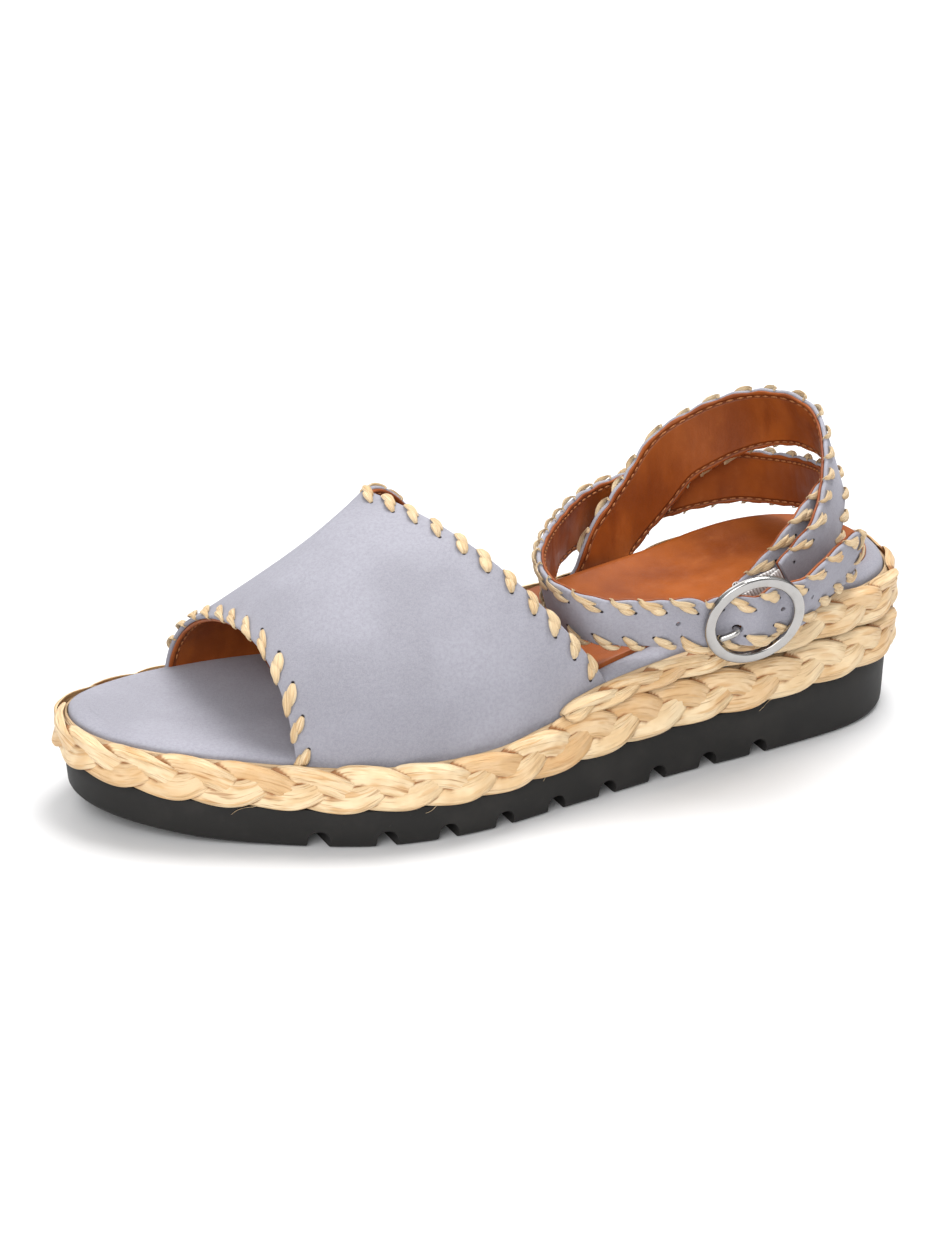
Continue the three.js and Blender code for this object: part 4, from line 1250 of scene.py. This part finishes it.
def vamp_point(station, angle):
    """Points of the vamp's outer skin: station 0 front to 1 rear, angle 0 outer base to 180 inner base."""
    feet = read_table(VAMP, LATERAL, station), read_table(VAMP, MEDIAL, station)
    crown_x = read_table(VAMP, CROWN, station) * SOLE_LENGTH
    outer_side = angle < 90
    climb = np.where(outer_side, angle / 90, (180 - angle) / 90)
    foot = np.where(outer_side, *feet) * SOLE_LENGTH
    x = foot + (crown_x - foot) * climb
    inset = -BRAID_SEAT - CLEARANCE
    base = np.where(outer_side, edge_side(x, 1, inset), edge_side(x, -1, inset))
    middle = read_table(VAMP, MIDDLE, station) * SOLE_BREADTH
    power = np.where(outer_side, 2 / VAMP_LATERAL_FULLNESS, 2 / VAMP_MEDIAL_FULLNESS)
    wide = np.maximum(0, np.cos(climb * math.pi / 2)) ** power
    tall = np.sin(climb * math.pi / 2) ** power
    rise = read_table(VAMP, RISE, station)
    crown = rim_height(crown_x) + VAMP_FRONT_HEIGHT + (VAMP_REAR_HEIGHT - VAMP_FRONT_HEIGHT) * rise
    floor = rim_height(x)
    return np.stack([x, middle + (base - middle) * wide, floor + (crown - floor) * tall], axis=-1)


class Vamp:
    """The vamp's skin, read by angle and by millimetres in from its front or rear edge."""

    def __init__(self):
        self.angles = np.concatenate([
            np.linspace(0, 16, 17), np.linspace(18, 162, 97), np.linspace(164, 180, 17),
        ])
        station, angle = np.meshgrid(np.linspace(0, 1, 61), self.angles, indexing="ij")
        self.skin = vamp_point(station, angle)
        step = 0.01
        ahead, behind = np.minimum(1, station + step), np.maximum(0, station - step)
        wider, lower = np.minimum(180, angle + 1), np.maximum(0, angle - 1)
        self.along = unit(vamp_point(ahead, angle) - vamp_point(behind, angle))
        around = vamp_point(station, wider) - vamp_point(station, lower)
        normal = np.cross(self.along, around)
        normal[:, (0, -1), 2] = 0
        self.normal = unit(normal)
        self.reach = lengths_along(self.skin)

    def edge_length(self, rear):
        """Lengths along an edge at each angle, eased so that a whole number of stitches fits."""
        lengths = lengths_along(self.skin[-1 if rear else 0])
        return lengths * np.round(lengths[-1] / WHIP_PITCH) * WHIP_PITCH / lengths[-1]

    def pick(self, values, column, inwards, rear):
        """Values at one angle's column, at distances in from an edge."""
        reach = self.reach[:, column]
        wanted = reach[-1] - inwards if rear else inwards
        return np.array([np.interp(wanted, reach, values[:, column, i]) for i in range(3)])

    def stitch_place(self, along, inwards, lift, rear):
        """Points by length along an edge, distance in from it and height over the skin."""
        lengths = self.edge_length(rear)
        columns = np.interp(along, lengths, np.arange(len(lengths)))
        result = np.zeros((*along.shape, 3))
        for index in np.ndindex(along.shape):
            left = int(min(columns[index], len(lengths) - 2))
            part = columns[index] - left
            inside, outside = max(inwards[index], 0), min(inwards[index], 0)
            for column, share in ((left, 1 - part), (left + 1, part)):
                point = self.pick(self.skin, column, inside, rear)
                normal = self.pick(self.normal, column, inside, rear)
                beyond = self.pick(self.along, column, 0, rear) * outside * (-1 if rear else 1)
                result[index] += share * (point + beyond + normal * lift[index])
        return result


vamp_skin = Vamp()


def vamp_layer(name, low, high, inset):
    """One layer of the vamp, between two depths under its skin, tucked into the footbed at both sides."""
    place, beyond, above = layer_section(36)
    radius = (high - low) / 2
    loops = []
    inwards = []
    for column in range(len(vamp_skin.angles)):
        whole = vamp_skin.reach[-1, column]
        wanted = inset + radius + (place + 1) / 2 * (whole - 2 * inset - 2 * radius)
        point, normal, along = (
            vamp_skin.pick(values, column, wanted, False).T
            for values in (vamp_skin.skin, vamp_skin.normal, vamp_skin.along)
        )
        lift = (low + high) / 2 + above * radius
        loops.append(point + unit(normal) * lift[:, None] + unit(along) * (beyond * radius)[:, None])
        spot = wanted + beyond * radius
        inwards.append(np.where(spot < whole / 2, spot, UV_MM - (whole - spot)))
    points = np.stack([loops[0] - (0, 0, VAMP_TUCK), *loops, loops[-1] - (0, 0, VAMP_TUCK)])
    inwards = np.stack([inwards[0], *inwards, inwards[-1]])
    edges = []
    for rear in (False, True):
        edge = vamp_skin.edge_length(rear)
        edges.append(np.concatenate([[-VAMP_TUCK], edge, [edge[-1] + VAMP_TUCK]])[:, None])
    lengths = np.where(inwards < UV_MM / 2, *edges)
    return tube(name, points, np.stack([lengths, inwards], axis=-1) / UV_MM)


# Whip stitches and thread

# The two grains that a whip stitch shows, from its hole in the face to where it goes over the edge: shares
# of its reach along the edge and of its depth, millimetres over the face, and half its width
GRAINS = [
    [
        (-0.02, 1.02, -0.5, 0.25),
        (0.08, 0.93, 0.4, 0.8),
        (0.3, 0.72, 0.95, 1.25),
        (0.52, 0.53, 0.85, 1.0),
        (0.7, 0.38, 0.25, 0.35),
    ],
    [
        (0.2, 0.4, 0.2, 0.35),
        (0.36, 0.33, 0.75, 0.9),
        (0.6, 0.21, 1.0, 1.25),
        (0.84, 0.1, 0.8, 0.95),
        (0.98, -0.03, 0.1, 0.62),
        (1.02, -0.08, -0.9, 0.5),
        (1.0, 0.1, -1.3, 0.3),
    ],
]
GRAIN_THICK = 0.42

# How far single stitches stray from the rest, as shares: reach, fullness, a grain's width and its place
STRAY_REACH = 0.1
STRAY_SWELL = 0.15
STRAY_WIDTH = 0.12
STRAY_PLACE = 0.04


def whip_stitches(name, count, first, place_of, slant, seed):
    """Whip stitches along an edge. place_of turns length along, distance in and height into points, and
    slant is 1 where a stitch enters the face further along than it goes over the edge."""
    rng = np.random.default_rng(seed)
    steps, sides = 12, 10
    turn = np.linspace(0, 2 * math.pi, sides, endpoint=False)[None, :]
    made = []
    for k in range(count):
        hole = first + WHIP_PITCH * (k + 0.5)
        reach = WHIP_REACH * (1 + STRAY_REACH * rng.uniform(-1, 1))
        swell = 1 + STRAY_SWELL * rng.uniform(-1, 1)
        tone = rng.uniform(0, 0.6)
        for number, rows in enumerate(GRAINS):
            rows = np.array(rows) * (1, WHIP_DEPTH, 1, swell * (1 + STRAY_WIDTH * rng.uniform(-1, 1)))
            rows[1:, 0] += STRAY_PLACE * rng.uniform(-1, 1)
            t = np.linspace(0, len(rows) - 1.0001, steps)
            along, inwards, lift, half = Line(rows, closed=False).point(t).T[..., None]
            along = -along * reach
            way = unit(np.stack([np.gradient(along[:, 0]), np.gradient(inwards[:, 0])], axis=-1) + 1e-6)
            q = np.cos(turn) * half
            thick = GRAIN_THICK * np.sin(turn) * np.minimum(1, half)
            beside = along - way[:, 1:] * q
            inside = inwards + way[:, :1] * q
            points = place_of(hole + slant * beside, inside, lift + thick)
            lengths = along / UV_MM + 0.37 * (k + number)
            uv = np.stack([lengths + 0 * q, turn / (2 * math.pi) + 0 * q], axis=-1)
            made.append(tube(f"{name}_{k}_{number}", points, uv, tone=np.full(q.shape, tone)))
    return join_pieces(name, made)


# A thread stitch: its length as a share of the pitch, its width and its thickness
THREAD_LONG = 0.8
THREAD_WIDE = 0.6
THREAD_THICK = 0.55


def thread_row(name, count, place_of):
    """A row of short thread stitches: one is made, arrayed along a row, and the row is laid on its seam."""
    row = fresh(bpy.ops.mesh.primitive_uv_sphere_add, segments=6, ring_count=5, radius=0.5)
    row.name = name
    array = row.modifiers.new("row", "ARRAY")
    array.count = count
    array.use_constant_offset = True
    array.use_relative_offset = False
    array.constant_offset_displace = (2, 0, 0)
    bpy.ops.object.modifier_apply(modifier=array.name)
    flat = np.zeros(3 * len(row.data.vertices))
    row.data.vertices.foreach_get("co", flat)
    x, y, z = flat.reshape(-1, 3).T
    index = np.round(x / 2)
    along = THREAD_PITCH * (index + 0.5 + THREAD_LONG * (x - 2 * index))
    place_points(row, place_of(along, y * THREAD_WIDE, z * THREAD_THICK))
    return row


def make_upper():
    dress(vamp_layer("vamp_suede", -1.35, 0, 0), suede_whipped, "suede", "vamp", sharp=50)
    dress(vamp_layer("vamp_lining", -VAMP_WALL, -1.4, 0.3), lining_leather, "leather", sharp=50)
    for name, strap in (("heel_strap", heel_strap), ("ankle_strap", ankle_strap)):
        outer = strap_layer(name + "_suede", strap, -0.2, STRAP_WALL / 2, 0, 0.9, 0.22)
        inner = strap_layer(name + "_lining", strap, -STRAP_WALL / 2, -0.24, 0.25, 2.0, 0.22)
        if strap is ankle_strap:
            for layer in (outer, inner):
                punch_holes(layer)
        dress(outer, suede_whipped, "suede", name, sharp=50)
        dress(inner, lining_leather, "leather", sharp=50)


# Places along the ankle strap, from the buckle's bar, where it is punched; one more is the prong's own
PUNCHED = (-22.5, 10.0, 14.5, 19.5)


def bar_place():
    """The length along the ankle strap at which it crosses the buckle's bar."""
    away = np.linalg.norm(ankle_strap.middle - buckle_middle, axis=1)
    late = ankle_strap.along > 0.6 * ankle_strap.length
    return ankle_strap.along[np.argmin(np.where(late, away, 1e9))]


def pin(middle, way, radius, length):
    """A short rod through the strap."""
    turn = Vector((0, 0, 1)).rotation_difference(Vector(way)).to_matrix()
    return set_down(cylinder(radius, length, sides=16), turn, middle)


def punch_holes(layer):
    rods = []
    for offset in PUNCHED:
        along = np.array([bar_place() + offset])
        middle = ankle_strap.at(along, np.zeros(1), np.zeros(1))[0]
        way = ankle_strap.read(ankle_strap.out, along)[0]
        rods.append(pin(middle, way, 0.75, 8))
    rods.append(pin(buckle_point(-PRONG_HOLE, 0, -BAR_DROP / 2), buckle_face, 1.45, 9))
    carve(layer, join_pieces("punches", rods))


def make_whip_stitches():
    for label, is_rear, slant in (("front", False, 1), ("rear", True, -1)):
        def on_vamp(along, inwards, lift):
            return vamp_skin.stitch_place(along, inwards, lift, is_rear)

        count = int(round(vamp_skin.edge_length(is_rear)[-1] / WHIP_PITCH))
        stitches = whip_stitches(f"vamp_{label}_whip", count, 0, on_vamp, slant, 5 + is_rear)
        dress(stitches, raffia, "raffia", sharp=60)
    for label, strap, skipped in (("heel", heel_strap, 1), ("ankle", ankle_strap, 2)):
        def on_strap(along, inwards, lift):
            return strap.stitch_place(along, inwards, lift + STRAP_WALL / 2)

        first = skipped * WHIP_PITCH
        last = 2 * strap.straight + strap.end_length - first
        turn = strap.straight + strap.end_length / 2
        split = first + math.floor((turn - first) / WHIP_PITCH) * WHIP_PITCH
        spare = 0 if strap.round_end else WHIP_PITCH
        for edge, start, end in (("top", first, split - spare), ("bottom", split + spare, last)):
            count = int(round((end - start) / WHIP_PITCH))
            seed = 11 + 2 * (edge == "top") + len(label)
            stitches = whip_stitches(f"{label}_strap_{edge}_whip", count, start, on_strap, 1, seed)
            dress(stitches, raffia, "raffia", sharp=60)


def make_lining_thread():
    rows = []
    for label, strap in (("heel", heel_strap), ("ankle", ankle_strap)):
        def on_strap(along, aside, lift):
            return strap.stitch_place(along, THREAD_INSET + aside, -STRAP_WALL / 2 - 0.02 - lift)

        count = int((2 * strap.straight + strap.end_length) / THREAD_PITCH) - 1
        rows.append(thread_row(f"{label}_strap_thread", count, on_strap))
    for is_rear in (False, True):
        def on_vamp(along, aside, lift):
            return vamp_skin.stitch_place(along, THREAD_INSET + aside, -VAMP_WALL - 0.02 - lift, is_rear)

        count = int(vamp_skin.edge_length(is_rear)[-1] / THREAD_PITCH) - 1
        rows.append(thread_row(f"vamp_thread_{int(is_rear)}", count, on_vamp))
    dress(join_pieces("lining_thread", rows), brown_thread, "leather")


# Elastic and buckle

def make_elastic():
    """A flat loop of elastic from the heel strap's end round the buckle's bar."""
    bar = buckle_point(0, 0, -BAR_DROP)
    back = heel_strap.middle[0] - bar
    slip = back @ buckle_bar
    back = back - buckle_bar * slip
    reach = np.linalg.norm(back) - 3 * CLEARANCE
    back = unit(back)
    out = np.cross(buckle_bar, back)
    out = -out if out[1] < 0 else out
    inner = BAR_RADIUS + CLEARANCE
    run = np.linspace(reach, 0, 24, endpoint=False)
    swell = smoothstep(1 - run / reach, 0, 0.55)
    side = 0.25 + (inner - 0.25) * swell
    turn = np.linspace(math.pi / 2, 1.5 * math.pi, 15)
    line = np.concatenate([
        np.stack([run, side], axis=-1),
        np.stack([inner * np.cos(turn), inner * np.sin(turn)], axis=-1),
        np.stack([run, -side], axis=-1)[::-1],
    ])
    way = unit(np.gradient(line, axis=0))
    place, beyond, above = layer_section(8, 3)
    radius = ELASTIC_WALL / 2
    aside = place * (ELASTIC_WIDTH / 2 - radius) + beyond * radius
    thick = radius + above * radius * 0.92
    along = line[:, :1] + way[:, 1:] * thick
    lift = line[:, 1:] - way[:, :1] * thick
    slide = slip * np.maximum(0, line[:, :1]) / reach
    points = bar + back * along[..., None] + out * lift[..., None] + buckle_bar * (aside + slide)[..., None]
    lengths = lengths_along(line)[:, None] / UV_MM
    uv = np.stack([lengths + 0 * thick, aside / ELASTIC_WIDTH + 0.5 + 0 * along], axis=-1)
    web = tube("elastic_web", points, uv)
    return dress(web, elastic_web, "webbing", "elastic_loop", sharp=50)


# The turn of a primitive made with the bar along X, the strap's way along Y and the face up
BUCKLE_BASIS = Matrix(np.stack([buckle_bar, buckle_way, buckle_face], axis=1).tolist())


def make_buckle_frame():
    """A flat round ring with softened edges, and a bar on two short legs behind it."""
    band = RING_BAND / 2
    middle = RING_RADIUS - band
    ring_piece = fresh(
        bpy.ops.mesh.primitive_torus_add, major_segments=128, minor_segments=28,
        major_radius=middle * MM, minor_radius=band * MM,
    )
    for vertex in ring_piece.data.vertices:
        x, y, z = vertex.co / MM
        radius = math.hypot(x, y)
        turn = math.atan2(z, radius - middle)
        wider = (middle + band * bent(math.cos(turn), 0.55)) / radius
        vertex.co = Vector((x * wider, y * wider, RING_WALL / 2 * bent(math.sin(turn), 0.62))) * MM
    leg = RING_RADIUS - RING_BAND + RING_BAND / 4
    foot = leg - LEG_LEAN
    parts = [ring_piece]
    for side in (-1, 1):
        place = (side * (leg + foot) / 2, 0, -BAR_DROP / 2)
        turn = (0, side * math.atan2(LEG_LEAN, BAR_DROP), 0)
        parts.append(cylinder(0.9 * BAR_RADIUS, math.hypot(BAR_DROP, LEG_LEAN), place, turn))
    parts.append(cylinder(BAR_RADIUS, 2 * foot + BAR_RADIUS, (0, 0, -BAR_DROP), (0, math.pi / 2, 0)))
    whole = set_down(join_pieces("ring_and_bar", parts), BUCKLE_BASIS, buckle_middle)
    return dress(whole, steel, "metal", "buckle_frame", sharp=45)


def make_prong():
    """A sleeve round the bar and an arm that comes up through the strap and lies towards the ring."""
    arm = Line([
        (-1.6, -BAR_DROP + 0.4),
        (-PRONG_HOLE + 1, -BAR_DROP + 0.9),
        (-PRONG_HOLE, -BAR_DROP / 2),
        (-PRONG_HOLE - 0.7, 0.9),
        (-PRONG_HOLE - 2.2, 1.1),
        (-RING_RADIUS + RING_BAND + CLEARANCE, 0.2),
    ], closed=False)
    lengths = np.linspace(0, arm.length * 0.999, 40)
    times = arm.time_at(lengths)
    middle, way = arm.point(times), arm.way(times)
    left = (arm.length - lengths) / PRONG_RADIUS
    radius = PRONG_RADIUS * np.sqrt(1 - np.maximum(0, 1 - left) ** 2 + 0.02)[:, None]
    turn = np.linspace(0, 2 * math.pi, 20, endpoint=False)[None, :]
    aside, over = np.cos(turn) * radius, np.sin(turn) * radius
    loops = (buckle_middle + buckle_way * (middle[:, :1] - way[:, 1:] * over)[..., None]
             + buckle_face * (middle[:, 1:] + way[:, :1] * over)[..., None] + buckle_bar * aside[..., None])
    arm_piece = tube("prong_arm", loops)
    sleeve_middle = BAR_RADIUS + CLEARANCE + SLEEVE_WALL / 2
    sleeve = fresh(
        bpy.ops.mesh.primitive_torus_add, major_segments=40, minor_segments=12,
        major_radius=sleeve_middle * MM, minor_radius=PRONG_RADIUS * MM, rotation=(0, math.pi / 2, 0),
    )
    for vertex in sleeve.data.vertices:
        x, y, z = vertex.co / MM
        out = math.hypot(y, z)
        moved = (sleeve_middle + (out - sleeve_middle) * SLEEVE_WALL / (2 * PRONG_RADIUS)) / out
        vertex.co = Vector((x, y * moved, z * moved - BAR_DROP)) * MM
    prong = join_pieces("prong", [arm_piece, set_down(sleeve, BUCKLE_BASIS, buckle_middle)])
    return dress(prong, steel, "metal", "buckle_prong", sharp=60)


# Loose raffia hairs that hang from the lower braid over the rubber: share of the way round, length, how far
# down its end hangs and how it curls
HAIRS = [
    (0.118, 9, 3.4, 0.5),
    (0.250, 6, 2.6, -0.7),
    (0.309, 10, 3.0, 0.9),
    (0.404, 7, 3.8, -0.5),
    (0.640, 8, 3.2, 0.6),
    (0.880, 9, 2.8, -0.6),
]


def make_hairs():
    steps, sides = 18, 6
    t = np.linspace(0, 1, steps)
    turn = np.linspace(0, 2 * math.pi, sides, endpoint=False)
    radius = (0.1 - 0.04 * t)[:, None, None]
    hairs = []
    for k, (share, length, drop, curl) in enumerate(HAIRS):
        where = share + (t + 0.12 * curl * np.sin(5 * t)) * length / outline.length
        x, y = edge_point(where, 1.6 - 1.2 * smoothstep(t, 0, 0.5) + 0.25 * np.sin(7 * t))
        z = rubber_height(x) + 1.2 - drop * t ** 1.4 + 0.5 * curl * np.sin(6.5 * t) * t
        middle = np.stack([x, y, z], axis=-1)
        way = unit(np.gradient(middle, axis=0))
        aside = unit(np.cross(way, [0, 0, 1]))
        over = np.cross(aside, way)
        loops = middle[:, None] + radius * (aside[:, None] * np.cos(turn)[:, None]
                                            + over[:, None] * np.sin(turn)[:, None])
        uv = np.stack(np.broadcast_arrays(t[:, None] * length / UV_MM + k, turn / 7), axis=-1)
        hairs.append(tube(f"hair_{k}", loops, uv))
    dress(join_pieces("loose_raffia", hairs), raffia, "raffia")


make_outsole()
make_footbed()
make_sock()
make_lower_braid()
make_upper_braid()
make_upper()
make_whip_stitches()
make_lining_thread()
make_elastic()
make_buckle_frame()
make_prong()
make_hairs()


# Floor, light and camera

FLOOR_SIZE = 12.0
FLOOR_PALE = (0.79, 0.79, 0.795, 1)
SKY_LOW = (0.1, 0.1, 0.105, 1)
SKY_HIGH = (1, 1, 1, 1)
SKY_STRENGTH = 0.68

floor = fresh(bpy.ops.mesh.primitive_plane_add, size=FLOOR_SIZE)
floor.name = "studio_floor"
floor_look = new_material("pale floor", Base_Color=FLOOR_PALE, Roughness=0.6, Specular_IOR_Level=0.2)
floor.data.materials.append(floor_look[0])

world = bpy.data.worlds.new("studio")
bpy.context.scene.world = world
world.use_nodes = True
sky = Nodes(world.node_tree)
around = sky.add("ShaderNodeTexCoord").outputs["Generated"]
upward = sky.add("ShaderNodeSeparateXYZ", Vector=around).outputs[2]
sky_colour = sky.mix(sky.ramp(upward, 0.0, 0.9), SKY_LOW, SKY_HIGH)
sky.fill(world.node_tree.nodes["Background"], Color=sky_colour, Strength=SKY_STRENGTH)


def soft_light(name, place, aim, size, power):
    """A square lamp at a place, turned to what it lights."""
    bpy.ops.object.light_add(type="AREA", location=place)
    lamp = bpy.context.object
    lamp.name = name
    lamp.rotation_euler = (Vector(aim) - Vector(place)).to_track_quat("-Z", "Y").to_euler()
    lamp.data.size = size
    lamp.data.energy = power


SHOE_MIDDLE = (0, 0, 0.03)
soft_light("key", (-0.4, -0.22, 1.35), SHOE_MIDDLE, 0.85, 19.5)
soft_light("toe_side", (0.8, 0.95, 0.75), SHOE_MIDDLE, 1.2, 15)
soft_light("fill", (-0.95, 0.7, 0.6), SHOE_MIDDLE, 1.1, 1.5)
soft_light("back", (0.1, -1.1, 0.9), SHOE_MIDDLE, 1.0, 5)

# The camera stands where the photograph's stood, upright as it was, and frames the one shoe
CAMERA_PLACE = Vector((0.42004, 0.90292, 0.46624))
CAMERA_AIM = Vector((0.00487, -0.00585, 0.04196))
CAMERA_UP = Vector((-0.172, -0.370, 0.913))
CAMERA_LENS = 110.56

forward = (CAMERA_AIM - CAMERA_PLACE).normalized()
right = forward.cross(CAMERA_UP).normalized()
upright = right.cross(forward)
bpy.ops.object.camera_add(location=CAMERA_PLACE)
camera = bpy.context.object
camera.rotation_euler = Matrix((right, upright, -forward)).transposed().to_euler()
camera.data.lens = CAMERA_LENS
camera.data.sensor_width = 36
bpy.context.scene.camera = camera

bpy.context.scene.view_settings.view_transform = "Standard"
bpy.context.scene.view_settings.look = "None"
